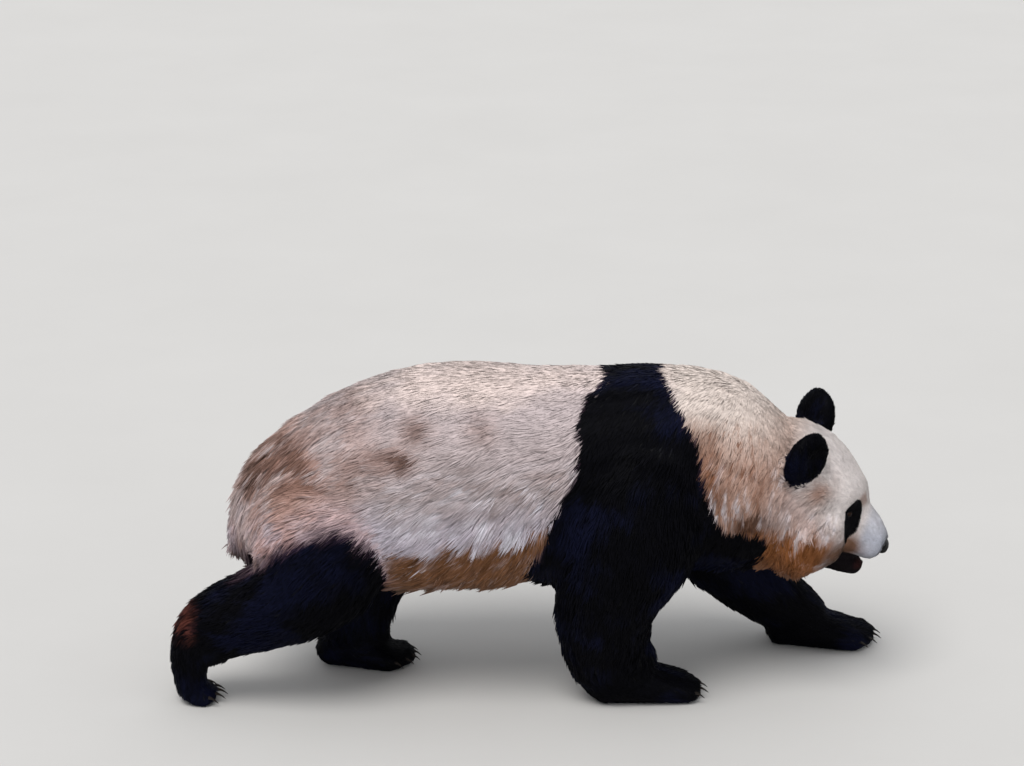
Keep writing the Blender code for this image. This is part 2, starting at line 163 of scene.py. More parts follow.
def eyeAxes(side):
    # gaze, towards the nose, up, as rows in world space
    forward, outward, up = eyeSetting["gaze"]
    gaze = unit(np.array([forward, outward * sides[side], up]))
    inward = unit(np.cross(gaze, (0, 0, 1)) * sides[side])
    inward = unit(inward + 0.16 * np.array([0, 0, -1]))  # the inner corner hangs a little
    return np.stack([gaze, inward, np.cross(inward, gaze) * sides[side]]) @ headAxes.T


def opening(points, side):
    # 0 at the middle of the eye's opening, 1 at the edge of the lids, and the angles of each point
    gaze, inward, up = eyeAxes(side)
    reach = points - eyeCentres[side]
    ahead = reach @ gaze
    across = np.degrees(np.arctan2(reach @ inward, ahead))
    rise = np.degrees(np.arctan2(reach @ up, ahead))
    height = np.where(rise > 0, eyeSetting["upper"], eyeSetting["lower"])
    share = np.hypot(across / eyeSetting["corner"], rise / height)
    return np.where(ahead > 0, share, 9.0), across, rise


skinSetting = {
    "voxel": 0.0074, "melt": 6, "fineReach": 0.030, "fineCuts": 4,
    # tone: the skin's share of the coat's colour, a painted shade under the tufts
    "sole": 0.004, "soleDepth": 0.0006, "lowest": 0.0003, "depthRounds": 6, "tone": 0.90,
}
notFlesh = ("claw", "eye_", "nose")
fleshNodes = [name for name in frame["nodes"] if not any(word in name for word in notFlesh)]
nodeNumber = {name: i for i, name in enumerate(fleshNodes)}


def fleshCopies():
    made = []
    for name in fleshNodes:
        copy = bpy.data.objects.new("flesh", scene.objects[name].data.copy())
        scene.collection.objects.link(copy)
        made.append(copy)
    return made


def nodeTree():
    # one tree over all flesh nodes, and the node's number for each of its faces
    points, faces, owner = [], [], []
    for number, name in enumerate(fleshNodes):
        mesh = scene.objects[name].data
        start = len(points)
        points.extend(v.co.copy() for v in mesh.vertices)
        for face in mesh.polygons:
            faces.append([start + v for v in face.vertices])
            owner.append(number)
    return BVHTree.FromPolygons(points, faces), owner


def makeSkin():
    # the flesh nodes copied, joined and remeshed into one closed skin
    copies = fleshCopies()
    deselectAll()
    for copy in copies:
        copy.select_set(True)
    bpy.context.view_layer.objects.active = copies[0]
    bpy.ops.object.join()
    skin = bpy.context.view_layer.objects.active
    skin.name = "skin"
    skin.data.name = "skin"
    bpy.ops.object.mode_set(mode="EDIT")
    bpy.ops.mesh.select_all(action="SELECT")
    bpy.ops.mesh.remove_doubles(threshold=0.00002)
    bpy.ops.object.mode_set(mode="OBJECT")
    remesh = skin.modifiers.new("fuse", "REMESH")
    remesh.mode = "VOXEL"
    remesh.voxel_size = skinSetting["voxel"]
    smooth = skin.modifiers.new("melt", "SMOOTH")
    smooth.factor = 0.5
    smooth.iterations = skinSetting["melt"]
    applyModifiers(skin)
    return skin


def cutFiner(skin, centres, reach, cuts):
    # smaller faces round the eyes, where the lids need them
    pick(skin)
    for face in skin.data.polygons:
        face.select = False
    for edge in skin.data.edges:
        edge.select = False
    points, _ = meshArrays(skin.data)
    near = np.zeros(len(points), bool)
    for centre in centres:
        near |= np.linalg.norm(points - centre, axis=1) < reach
    skin.data.vertices.foreach_set("select", near)
    bpy.ops.object.mode_set(mode="EDIT")
    bpy.ops.mesh.select_mode(type="VERT")
    bpy.ops.mesh.select_mode(type="FACE")
    bpy.ops.mesh.subdivide(number_cuts=cuts, smoothness=0.6)
    bpy.ops.object.mode_set(mode="OBJECT")


skin = makeSkin()
cutFiner(skin, list(eyeCentres.values()), skinSetting["fineReach"], skinSetting["fineCuts"])
print("skin", len(skin.data.vertices), "points", len(skin.data.polygons), "faces")

# how the coat lies on each part: direction, length, lift in degrees, width, and how far it draws into locks
combing = {
    "hindquarters": ((-0.92, 0, -0.38), 0.046, 9, 0.0024, 0.24),
    "belly": ((-0.70, 0, -0.70), 0.050, 9, 0.0024, 0.30),
    "chest": ((-0.42, 0, -0.85), 0.040, 12, 0.0028, 0.26),
    "neck": ((-0.24, 0, -0.95), 0.028, 11, 0.0018, 0.26),
    "head": ((-0.40, 0, -0.80), 0.030, 14, 0.0021, 0.30),
    "lower_jaw": ((-0.9, 0, -0.3), 0.007, 14, 0.0013, 0.10),
    "tail": ((-0.15, 0, -1.0), 0.040, 16, 0.0025, 0.35),
    "ear_right": ((0, -0.4, 1), 0.0125, 24, 0.0017, 0.12),
    "ear_left": ((0, 0.4, 1), 0.0125, 24, 0.0017, 0.12),
    "front_right_upper_leg": ((-0.25, 0, -0.95), 0.034, 12, 0.0030, 0.26),
    "front_right_lower_leg": ((-0.12, 0, -1.0), 0.029, 12, 0.0030, 0.26),
    "front_right_paw": ((0.85, 0, -0.50), 0.016, 14, 0.0023, 0.20),
    "front_left_upper_leg": ((0.25, 0, -0.90), 0.034, 12, 0.0030, 0.26),
    "front_left_lower_leg": ((0.60, 0, -0.75), 0.028, 12, 0.0030, 0.26),
    "front_left_paw": ((0.85, 0, -0.45), 0.016, 14, 0.0023, 0.20),
    "hind_right_upper_leg": ((-0.65, 0, -0.70), 0.036, 12, 0.0030, 0.26),
    "hind_right_lower_leg": ((-0.90, 0, -0.40), 0.029, 12, 0.0030, 0.26),
    "hind_right_paw": ((0.15, 0, -1.0), 0.019, 15, 0.0024, 0.20),
    "hind_left_upper_leg": ((-0.10, 0, -1.0), 0.034, 12, 0.0030, 0.26),
    "hind_left_lower_leg": ((-0.10, 0, -1.0), 0.029, 12, 0.0030, 0.26),
    "hind_left_paw": ((0.85, 0, -0.45), 0.016, 14, 0.0023, 0.20),
}
# the body's middle was moved over the origin, and this is by how much
bellyMiddle = -0.125
planShift = float(boxCentre("belly")[0]) - bellyMiddle


def neighbourMean(values, edges, count):
    total = np.empty_like(values)
    ends = np.concatenate([edges[:, 0], edges[:, 1]])
    others = np.concatenate([edges[:, 1], edges[:, 0]])
    for column in range(values.shape[1]):
        total[:, column] = np.bincount(ends, weights=values[others, column], minlength=len(values))
    return total / count


def smear(points, edges, lay, seed, rounds):
    # random tones drawn out into streaks along the lie of the coat
    tones = np.random.default_rng(seed).normal(size=len(points))
    first, second = edges.T
    step = unit(points[second] - points[first])
    weight = np.abs((step * unit(lay[first] + lay[second])).sum(axis=1)) ** 8
    size = len(points)
    total = np.bincount(first, weight, size) + np.bincount(second, weight, size) + 0.4
    for _ in range(rounds):
        drawn = np.bincount(first, weight * tones[second], size)
        drawn = drawn + np.bincount(second, weight * tones[first], size)
        tones = (0.4 * tones + drawn) / total
    return tones / tones.std()


def isNode(region, *words):
    # 1 where the point belongs to a node whose name starts with one of the words
    return np.array([float(name.startswith(words)) for name in fleshNodes])[region]


lengthAt, liftAt, widthAt, lockAt = range(4)  # the columns of a coat size
combSetting = {
    "parting": 0.32,  # how far the coat falls to each side of the spine
    "slope": {"back": 13, "flank": 9, "shoulder": 43, "rump": 88},  # in degrees below level
    "barrelFront": (0.16, 0.06), "shoulderAlong": (-0.45, 0.02), "flankHeight": (0.70, 0.44),
    "under": (0.42, 0.28), "above": (0.58, 0.72), "throat": (0.42, 0.34),
    "heel": (0.05, 0.10), "toes": (0.060, 0.02), "earBase": 0.030, "evenRounds": 16,
}
headCombSetting = {
    "cheekLength": 0.034, "muzzleLength": 0.0065, "eyeLength": 0.0045, "lift": 15,
    "cheekWidth": 0.0018, "muzzleWidth": 0.0012, "eyeWidth": 0.0011, "lock": 0.36,
    "muzzle": (0.075, 0.112), "face": (-0.03, 0.065), "swept": (0.045, 0.085),  # forward
    "crown": (0.03, 0.105), "cheekTurn": (-0.02, 0.06), "jowl": (-0.07, -0.12),  # up
    "eyeReach": (0.050, 0.018),
}


def combTrunk(x, y, z, normals, region, lay, size):
    # parted along the spine, short and smooth on the back, hanging under the belly
    s, slope = combSetting, combSetting["slope"]
    trunk = isNode(region, "hindquarters", "belly", "chest", "neck")
    side = np.sign(y) * ramp(np.abs(y), 0, 0.05)
    lay[:, 1] += trunk * s["parting"] * side * np.clip(normals[:, 2], 0, 1)
    # nearly level on the back and rump, steeper down the flank and towards the shoulder
    barrel = isNode(region, "hindquarters", "belly", "chest") * ramp(x, *s["barrelFront"])
    steeper = slope["flank"] + slope["shoulder"] * ramp(x, *s["shoulderAlong"])
    down = slope["back"] + steeper * ramp(z, *s["flankHeight"])
    down = np.radians(down + (slope["rump"] - down) * ramp(-normals[:, 0], 0.30, 0.75))
    combed = np.stack([-np.cos(down), lay[:, 1], -np.sin(down)], axis=1)
    lay = mixed(lay, combed, barrel)
    lay[:, 2] *= 1 - 0.55 * trunk * (1 - barrel) * ramp(normals[:, 2], 0.4, 0.95)
    under = ramp(z, *s["under"]) * trunk
    above = ramp(z, *s["above"]) * trunk
    size[:, lengthAt] *= 1 + 0.20 * under - 0.30 * above
    size[:, liftAt] *= 1 + 0.45 * under * ramp(-normals[:, 2], -0.2, 0.7)
    size[:, liftAt] *= 1 - 0.55 * above
    size[:, widthAt] *= 1 + 0.35 * above
    size[:, lockAt] *= 1 + 0.40 * under - 0.70 * above
    return lay


def combFringes(z, normals, region, size):
    # longer at the throat and behind elbow and heel
    throat = isNode(region, "neck") * ramp(z, *combSetting["throat"])
    behind = isNode(region, "front", "hind") * ramp(-normals[:, 0], 0.2, 0.9) * ramp(z, *combSetting["heel"])
    for fringe in (throat, behind):
        size[:, lengthAt] *= 1 + 0.25 * fringe
        size[:, liftAt] *= 1 + 0.35 * fringe


def combHead(points, region, lay, size):
    # back over the crown and the muzzle, down and out over the cheeks
    s = headCombSetting
    local = inHead(points)
    forward, sideways, up = local.T
    head = isNode(region, "head", "lower_jaw")
    muzzle, face, crown = ramp(forward, *s["muzzle"]), ramp(forward, *s["face"]), ramp(up, *s["crown"])
    ones = np.ones(len(points))
    outward = np.sign(sideways) * ramp(np.abs(sideways), 0, 0.02)
    backward = np.stack([-ones, 0.30 * outward * face, 0.30 * face * (1 - crown) + 0.1], axis=1)
    cheek = np.stack([0.02 * ones - 0.25 * ramp(up, *s["cheekTurn"]), 0.35 * outward, -0.95 * ones], axis=1)
    toBack = np.clip(crown + ramp(forward, *s["swept"]), 0, 1)
    lay = mixed(lay, mixed(cheek, backward, toBack) @ headAxes.T, head)
    length = s["cheekLength"] * (1 - 0.66 * face) * (1 - 0.50 * crown) * (1 + 0.25 * ramp(up, *s["jowl"]))
    length = length * (1 - muzzle) + s["muzzleLength"] * muzzle
    lift = s["lift"] - 4 * face - muzzle - 5 * crown
    width = s["cheekWidth"] * (1 - 0.32 * face) * (1 - muzzle) + s["muzzleWidth"] * muzzle
    lock = s["lock"] * (1 - 0.8 * face) * (1 - 0.8 * crown) + 0.03
    size = mixed(size, np.stack([length, lift, width, lock], axis=1), head)
    # shortest round the eyes, and fanned away from them
    for side in sides:
        away = np.linalg.norm(local - eyesInHead[side], axis=1)
        short = ramp(away, *s["eyeReach"]) * head
        size[:, lengthAt] = size[:, lengthAt] * (1 - short) + s["eyeLength"] * short
        size[:, widthAt] = size[:, widthAt] * (1 - short) + s["eyeWidth"] * short
        size[:, lockAt] *= 1 - short
        fan = unit(points - eyeCentres[side])
        lay = mixed(lay, unit(lay) + 0.9 * fan, 0.8 * short)
    return lay, size


def combEarsAndToes(points, region, lay, size):
    # the ears outwards from the middle of the base, the toes very short
    for name in ("ear_right", "ear_left"):
        low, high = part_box(name)
        base = np.array([(low[0] + high[0]) / 2, (low[1] + high[1]) / 2, low[2] - combSetting["earBase"]])
        chosen = region == nodeNumber[name]
        lay[chosen] = unit(points[chosen] - base)
    paws = np.array([float("paw" in name) for name in fleshNodes])[region]
    size[:, lengthAt] *= 1 - 0.35 * ramp(points[:, 2], *combSetting["toes"]) * paws


def combSkin(skin):
    points, normals = meshArrays(skin.data)
    tree, owner = nodeTree()
    region = np.array([owner[tree.find_nearest(Vector(p))[2]] for p in points])
    lay = np.array([combing[name][0] for name in fleshNodes], float)[region]
    size = np.array([combing[name][1:] for name in fleshNodes], float)[region]
    x, y, z = (points - [planShift, 0, 0]).T
    lay = combTrunk(x, y, z, normals, region, lay, size)
    combFringes(z, normals, region, size)
    lay, size = combHead(points, region, lay, size)
    combEarsAndToes(points, region, lay, size)

    # evened out over the skin, but not across the foot of an ear
    edges = np.empty(len(skin.data.edges) * 2, np.int64)
    skin.data.edges.foreach_get("vertices", edges)
    edges = edges.reshape(-1, 2)
    onEar = isNode(region, "ear")
    edges = edges[onEar[edges[:, 0]] == onEar[edges[:, 1]]]
    count = np.maximum(np.bincount(edges.ravel(), minlength=len(points)), 1)[:, None]
    fields = np.concatenate([unit(lay), size], axis=1)
    for _ in range(combSetting["evenRounds"]):
        fields = 0.35 * fields + 0.65 * neighbourMean(fields, edges, count)
    lay = unit(fields[:, :3])
    return {"points": points, "normals": normals, "region": region, "lay": lay,
            "size": fields[:, 3:], "edges": edges, "count": count,
            "strand": smear(points, edges, lay, 21, 14), "streak": smear(points, edges, lay, 22, 5)}


coat = combSkin(skin)
print("combed")

# the markings; heights and distances are the animal's own, before its middle was put over the origin
markings = {
    "back": tint(230, 211, 204),
    "flank": tint(190, 176, 176),
    "lowFlank": tint(204, 195, 206),
    "silver": tint(226, 224, 232),
    "shade": tint(160, 138, 132),
    "belly": tint(126, 79, 34),
    "rump": tint(182, 141, 126),
    "smudge": tint(66, 40, 28),
    "blush": tint(196, 160, 157),
    "plum": tint(78, 58, 72),
    "neckTop": tint(222, 207, 198),
    "neckLow": tint(186, 153, 138),
    "speckle": tint(126, 78, 48),
    "throat": tint(144, 86, 37),
    "forehead": tint(228, 219, 216),
    "cheek": tint(198, 176, 170),
    "muzzle": tint(193, 196, 208),
    "mouthTan": tint(118, 78, 50),
    "black": tint(6, 6, 10),
    # navy sheen: a painted sheen on the black fur
    "navySheen": tint(14, 17, 38),
    "heel": tint(104, 58, 48),
    "lip": tint(22, 17, 20),
    "gum": tint(70, 34, 32),
}
# the black band over the shoulders, rear and front edge: height, distance along the body
bandRear = np.array([(0.25, 0.015), (0.35, 0.021), (0.39, 0.029), (0.447, 0.043), (0.484, 0.054),
                     (0.532, 0.083), (0.578, 0.099), (0.639, 0.110), (0.697, 0.111), (0.722, 0.120),
                     (0.732, 0.132), (0.742, 0.156), (0.752, 0.180), (0.80, 0.195)])
bandFront = np.array([(0.25, 0.60), (0.323, 0.61), (0.374, 0.561), (0.406, 0.547), (0.414, 0.500),
                      (0.427, 0.453), (0.477, 0.412), (0.514, 0.402), (0.561, 0.397), (0.606, 0.392),
                      (0.651, 0.374), (0.694, 0.351), (0.728, 0.329), (0.752, 0.314), (0.77, 0.307)])
# the top of the black on each thigh: distance, height
thighLines = {
    "right": np.array([(-0.75, 0.310), (-0.694, 0.318), (-0.646, 0.342), (-0.608, 0.376), (-0.576, 0.399),
                       (-0.507, 0.430), (-0.473, 0.442), (-0.439, 0.442), (-0.416, 0.432), (-0.394, 0.412),
                       (-0.372, 0.385), (-0.357, 0.350), (-0.345, 0.300), (-0.30, 0.19)]),
    "left": np.array([(-0.75, 0.10), (-0.66, 0.20), (-0.60, 0.305), (-0.54, 0.365), (-0.47, 0.405),
                      (-0.40, 0.430), (-0.34, 0.435), (-0.28, 0.415), (-0.24, 0.375), (-0.20, 0.30),
                      (-0.17, 0.18)]),
}
# the top of the ochre under the belly: distance, height
bellyLine = np.array([(-0.33, 0.384), (-0.25, 0.389), (-0.18, 0.403),
                      (-0.11, 0.417), (-0.04, 0.424), (0.0, 0.435)])
# dirt on the rump and flank: distance, height, size, strength
smudges = ((-0.600, 0.590, 0.030, 1.3), (-0.614, 0.560, 0.028, 1.5), (-0.626, 0.530, 0.028, 1.4),
           (-0.634, 0.502, 0.024, 1.0), (-0.548, 0.590, 0.034, 1.2), (-0.524, 0.560, 0.034, 1.2),
           (-0.570, 0.550, 0.040, 0.8), (-0.300, 0.618, 0.030, 1.4), (-0.350, 0.622, 0.040, 0.7),
           (-0.262, 0.683, 0.034, 0.8), (-0.410, 0.705, 0.055, 0.5), (-0.490, 0.665, 0.070, 0.3),
           (-0.395, 0.590, 0.055, 0.5), (-0.115, 0.685, 0.034, 0.5), (-0.47, 0.535, 0.06, 0.5))
# where each tone sets in and where it is full, as heights or as distances
blackFades = {
    "bandEdge": (-0.010, 0.010), "thighOffSpine": (0.04, 0.10), "thighFront": (-0.15, -0.20),
    "thighRear": (-0.700, -0.670), "thighSoft": (-0.45, -0.58),
    "hindEdge": (-0.030, 0.020), "hindLow": (0.33, 0.28), "foreLeg": (0.42, 0.34), "ear": (1.08, 0.98),
}
trunkFades = {
    "flank": (0.42, 0.56), "back": (0.705, 0.775), "silver": (0.64, 0.50), "silverAlong": (-0.46, -0.16),
    "shade": (0.68, 0.56), "bellyEdge": (0.012, -0.022), "bellyAlong": (-0.38, -0.30),
    "underside": (0.46, 0.42), "rear": (-0.33, -0.58), "rumpTop": (0.58, 0.68), "rim": (0.36, 0.42),
    "rightSide": (0.10, -0.05), "thighAlong": (-0.28, -0.36), "blush": (0.11, 0.04), "plum": (0.055, 0.0),
}
neckFades = {
    "along": (0.27, 0.36), "pale": (0.56, 0.70), "freckles": (0.70, 0.63), "frecklesAlong": (0.60, 0.46),
    "besideBand": (0.075, 0.015), "besideTop": (0.72, 0.64), "besideLow": (0.42, 0.50),
    "silver": (0.62, 0.52), "brown": (0.62, 0.50), "fringe": (0.432, 0.385),
}
headFades = {
    "along": (-0.150, -0.060), "forehead": (-0.02, 0.06), "silver": (0.05, -0.02), "tan": (0.04, -0.02),
    "tanAlong": (0.06, 0.02), "earSide": (0.05, 0.08), "brow": (0.022, 0.006), "browSide": (0.015, 0.030),
    "chin": (-0.018, -0.060), "chinAlong": (0.060, 0.040), "paleLocks": (-0.115, -0.085),
    "muzzle": (0.098, 0.126), "muzzleTop": (-0.03, 0.03), "crown": (0.02, 0.10),
}
lipFades = {"edge": (-0.0735, -0.0795), "along": (0.055, 0.075), "side": (0.080, 0.064)}
gumFades = {"low": (-0.120, -0.108), "high": (-0.088, -0.098), "along": (0.122, 0.136)}
heelFades = {"along": (-0.765, -0.815), "low": (0.145, 0.19), "high": (0.28, 0.235)}
# how much of each tone is laid over the ones before it
trunkShares = {
    "silver": 0.80, "shade": 0.50, "ochre": 0.95, "ochrePale": 0.65, "ochreDark": 0.70, "underside": 0.90,
    "rump": 0.85, "paleStrands": 0.60, "rim": 0.55, "dirt": 0.90, "blush": 0.42, "plum": 0.58,
}
neckShares = {
    "besideBand": 0.60, "freckles": 0.80, "silver": 0.58, "brown": 0.60, "patch": 0.95, "fringe": 0.92,
}
headShares = {
    "silver": 0.60, "tan": 0.50, "earTan": 0.75, "brow": 0.60, "chin": 0.95, "chinShade": 0.60,
    "paleLocks": 0.65, "mouth": 0.90, "gum": 0.45,
}
blackShares = {"navySheen": 0.75, "heel": 0.80, "plum": 0.55}
# soft round marks: middle and reach, along the body or forward in the head, and up
marks = {
    "earBlack": ((-0.080, 0.146), (0.052, 0.072)),
    "earTan": ((-0.030, 0.072), (0.034, 0.034)),
    "mouthCorner": ((0.084, -0.057), (0.040, 0.027)),
    "mouthShadow": ((0.075, -0.085), (0.026, 0.018)),
    "neckPatch": ((0.522, 0.438), (0.048, 0.026)),
}
# the black patch round each eye, in the head's own frame, with a ring close round the eye
eyePatchSetting = {
    "along": (0.08, 0.24, -0.97), "middle": (0.077, 0.080, 0.014),
    "halfLength": 0.0545, "halfWidth": 0.0340, "squareness": 2.7, "fullness": 0.42, "widerBelow": 0.13,
    "edge": (0.0022, -0.0012), "ring": (0.0205, 0.0180),
}


def grain(points, region, scale, seed, long=7.0):
    # streaks that run the way the coat is combed
    total = np.zeros(len(points))
    for number in np.unique(region):
        here = region == number
        along = unit(np.array(combing[fleshNodes[number]][0], float))
        if fleshNodes[number] == "head":
            along = unit(np.array([-0.45, 0, -0.8]) @ headAxes.T)
        local = points[here]
        local = local - (local @ along)[:, None] * along * (1 - 1 / long)
        total[here] = waves(local, scale, seed, 3)
    return total


def markReach(across, up, name):
    # 0 in the middle of a mark, 1 at its reach
    (middleAcross, middleUp), (reachAcross, reachUp) = marks[name]
    return np.hypot((across - middleAcross) / reachAcross, (up - middleUp) / reachUp)


def mark(across, up, name):
    return np.exp(-markReach(across, up, name) ** 2)


def thighHeight(x, y):
    right, left = (np.interp(x, *thighLines[side].T) for side in ("right", "left"))
    return right + (left - right) * ramp(y, -0.05, 0.05)


def blackness(points, region):
    # 1 where the animal is black, with soft tufted edges
    fades = blackFades
    x, y, z = (points - [planShift, 0, 0]).T
    ragged = 0.004 * waves(points, 0.035, 11) + 0.004 * grain(points, region, 0.008, 12)
    rear, front = np.interp(z, *bandRear.T), np.interp(z, *bandFront.T)
    band = ramp(x - rear + ragged, *fades["bandEdge"]) * ramp(front - x + ragged, *fades["bandEdge"])
    line = thighHeight(x, y)
    soft = 0.034 + 0.036 * ramp(x, *fades["thighSoft"])  # the edge is softer towards the rump
    thigh = ramp((line - z + 1.4 * ragged) / soft, -1.0, 0.7) * ramp(np.abs(y), *fades["thighOffSpine"])
    thigh = thigh * ramp(x, *fades["thighFront"]) * ramp(x, *fades["thighRear"])
    low = np.maximum(line, 0.30) - z
    hind = isNode(region, "hind_") * np.maximum(ramp(low + 1.4 * ragged, *fades["hindEdge"]),
                                                ramp(z, *fades["hindLow"]))
    foreLeg = isNode(region, "front") * ramp(z, *fades["foreLeg"])
    forward, _, up = inHead(points).T
    ears = isNode(region, "ear") * ramp(markReach(forward, up, "earBlack"), *fades["ear"])
    trunk = 1 - isNode(region, "head", "lower_jaw", "tail", "ear")
    # the throat stays pale: the black passes under it only on the chest
    return np.maximum.reduce([band * trunk, thigh * trunk, hind, foreLeg, ears])


def eyePatch(points):
    s = eyePatchSetting
    local = inHead(points)
    found = np.zeros(len(points))
    for side, sign in sides.items():
        along = unit(np.array(s["along"]) * (1, sign, 1))
        reach = local - np.array(s["middle"]) * (1, sign, 1)
        far = (reach @ along) / s["halfLength"]
        across = np.linalg.norm(reach - (reach @ along)[:, None] * along, axis=1)
        wide = s["halfWidth"] * np.clip(1 - np.abs(far) ** s["squareness"], 0.0, 1) ** s["fullness"]
        wide = wide * (1 + s["widerBelow"] * far)
        found = np.maximum(found, ramp(across - wide, *s["edge"]) * (np.abs(far) < 1.02))
        found = np.maximum(found, ramp(np.linalg.norm(local - eyesInHead[side], axis=1), *s["ring"]))
    return found


def paintTrunk(x, y, z, normals, tones):
    # cream on the back, lilac grey down the flank, ochre under the belly, tan and dirt on the rump
    m, fades, shares = markings, trunkFades, trunkShares
    fine, broad, mottle, strand, streak = tones
    colour = mixed(m["lowFlank"], m["flank"], ramp(z + 0.02 * broad, *fades["flank"]))
    colour = mixed(colour, m["back"], ramp(z + 0.02 * broad, *fades["back"]))
    # paler silver and darker shade streaks low on the body: random strand tone, partly painted highlight and
    # painted shade along the locks
    lines = strand + 0.5 * streak
    silver = ramp(lines, -0.2, 1.6) * ramp(z, *fades["silver"]) * ramp(x, *fades["silverAlong"])
    colour = mixed(colour, m["silver"], shares["silver"] * silver)
    colour = mixed(colour, m["shade"], shares["shade"] * ramp(-lines, 0.0, 1.6) * ramp(z, *fades["shade"]))
    hang = 0.027 * strand + 0.008 * streak + 0.008 * broad
    hanging = ramp(z + hang - np.interp(x, *bellyLine.T), *fades["bellyEdge"]) * ramp(x, *fades["bellyAlong"])
    facingDown = ramp(-normals[:, 2], 0.35, 0.85) * ramp(z, *fades["underside"])
    ochre = mixed(m["belly"], m["shade"], shares["ochrePale"] * ramp(streak + 0.5 * fine, 0.3, 1.6))
    ochre = mixed(ochre, m["belly"] * 0.5, shares["ochreDark"] * ramp(-streak - 0.5 * fine, 0.2, 1.5))
    under = np.clip(hanging + shares["underside"] * facingDown, 0, 1)
    colour = mixed(colour, ochre, shares["ochre"] * under)

    rear = ramp(x + 0.03 * broad, *fades["rear"])
    rim = ramp(-normals[:, 0], 0.55, 0.95) * ramp(z, *fades["rim"])
    rump = rear * (1 - 0.60 * ramp(z, *fades["rumpTop"])) * (1 - 0.50 * rim)
    rump = rump * ramp(0.8 * mottle + 0.3 * streak + 0.4 * broad, -0.9, 0.7)
    colour = mixed(colour, m["rump"], shares["rump"] * rump)
    colour = mixed(colour, m["cheek"], shares["paleStrands"] * rear * ramp(strand - 0.6 * mottle, 0.3, 2.0))
    colour = mixed(colour, m["cheek"], shares["rim"] * rear * rim)
    rightSide = ramp(y, *fades["rightSide"])
    for place, height, size, strength in smudges:
        near = np.exp(-((x - place) ** 2 * 0.8 + (z - height) ** 2 * 1.3) / size**2)
        dirty = near * rightSide * strength * ramp(0.5 * mottle + 0.4 * streak, -1.1, 0.4)
        dirt = mixed(m["rump"] * 0.8, m["smudge"], np.clip(dirty, 0, 1))
        colour = mixed(colour, dirt, np.clip(dirty, 0, shares["dirt"]))
    above = z - thighHeight(x, y)
    edge = ramp(x, *fades["thighAlong"]) * rightSide
    colour = mixed(colour, m["blush"], shares["blush"] * edge * ramp(above, *fades["blush"]))
    return mixed(colour, m["plum"], shares["plum"] * edge * ramp(above + 0.008 * streak, *fades["plum"]))


def paintNeck(x, z, tones):
    # pale above and tan below, freckled brown beside the black band, a brown patch and fringe at the throat
    m, fades, shares = markings, neckFades, neckShares
    fine, broad, mottle, strand, streak = tones
    neck = mixed(m["neckLow"], m["neckTop"], ramp(z + 0.015 * broad, *fades["pale"]))
    beside = ramp(x + 0.02 * mottle - np.interp(z, *bandFront.T), *fades["besideBand"])
    beside = beside * ramp(z, *fades["besideTop"]) * ramp(z, *fades["besideLow"])
    neck = mixed(neck, m["speckle"], shares["besideBand"] * beside)
    freckles = ramp(fine + 0.5 * streak + 0.5 * mottle, 0.1, 1.3)
    freckles = freckles * ramp(x, *fades["frecklesAlong"]) * ramp(z, *fades["freckles"])
    neck = mixed(neck, m["speckle"], shares["freckles"] * freckles)
    lines = strand + 0.8 * streak
    neck = mixed(neck, m["silver"], shares["silver"] * ramp(lines, 0.2, 1.8) * ramp(z, *fades["silver"]))
    neck = mixed(neck, m["speckle"], shares["brown"] * ramp(-lines, 0.2, 1.8) * ramp(z, *fades["brown"]))
    patch = np.clip(1.8 * mark(x, z + 0.006 * streak, "neckPatch"), 0, shares["patch"])
    neck = mixed(neck, m["speckle"] * 0.35, patch * ramp(streak, 3.0, 0.2))
    return mixed(neck, m["throat"], shares["fringe"] * ramp(z + 0.008 * streak, *fades["fringe"]))


def paintHead(forward, sideways, up, tones):
    # white crown, greyer cheeks, brown chin with pale locks, cool muzzle, tan round ear, brow and mouth
    m, fades, shares = markings, headFades, headShares
    _, _, mottle, strand, streak = tones
    lines = strand + 0.7 * streak
    aside = np.abs(sideways)
    colour = mixed(m["cheek"], m["forehead"], ramp(up + 0.5 * forward, *fades["forehead"]))
    colour = mixed(colour, m["silver"], shares["silver"] * ramp(lines, 0.2, 2.0) * ramp(up, *fades["silver"]))
    tan = ramp(-lines, 0.1, 1.8) * ramp(up, *fades["tan"]) * ramp(forward, *fades["tanAlong"])
    colour = mixed(colour, m["neckLow"], shares["tan"] * tan)
    earTan = mark(forward, up, "earTan") * ramp(aside, *fades["earSide"]) * ramp(mottle, -1.4, 0.2)
    colour = mixed(colour, m["speckle"] * 1.3, shares["earTan"] * earTan)
    eye = eyesInHead["right"]
    brow = np.hypot(forward - eye[0] - 0.026, up - eye[2] - 0.030)
    brow = ramp(brow, *fades["brow"]) * ramp(aside, *fades["browSide"])
    colour = mixed(colour, m["speckle"], shares["brow"] * brow)
    chin = ramp(up - 0.35 * np.clip(forward, -0.02, 0.05) + 0.006 * lines, *fades["chin"])
    chin = chin * ramp(forward, *fades["chinAlong"])
    paleLocks = shares["paleLocks"] * ramp(lines, 0.4, 1.8) * ramp(up, *fades["paleLocks"])
    colour = mixed(colour, m["throat"], shares["chin"] * chin * (1 - paleLocks))
    colour = mixed(colour, m["throat"] * 0.5, shares["chinShade"] * chin * ramp(-lines, 0.3, 1.8))
    bridge = ramp(forward, *fades["muzzle"]) * (1 - 0.35 * ramp(up, *fades["muzzleTop"]))
    colour = mixed(colour, m["muzzle"], bridge)
    corner = np.clip(1.4 * mark(forward, up, "mouthCorner"), 0, shares["mouth"])
    colour = mixed(colour, m["mouthTan"], corner)
    shadow = np.clip(1.1 * mark(forward, up, "mouthShadow"), 0, shares["mouth"])
    return mixed(colour, m["mouthTan"] * 0.35, shadow)


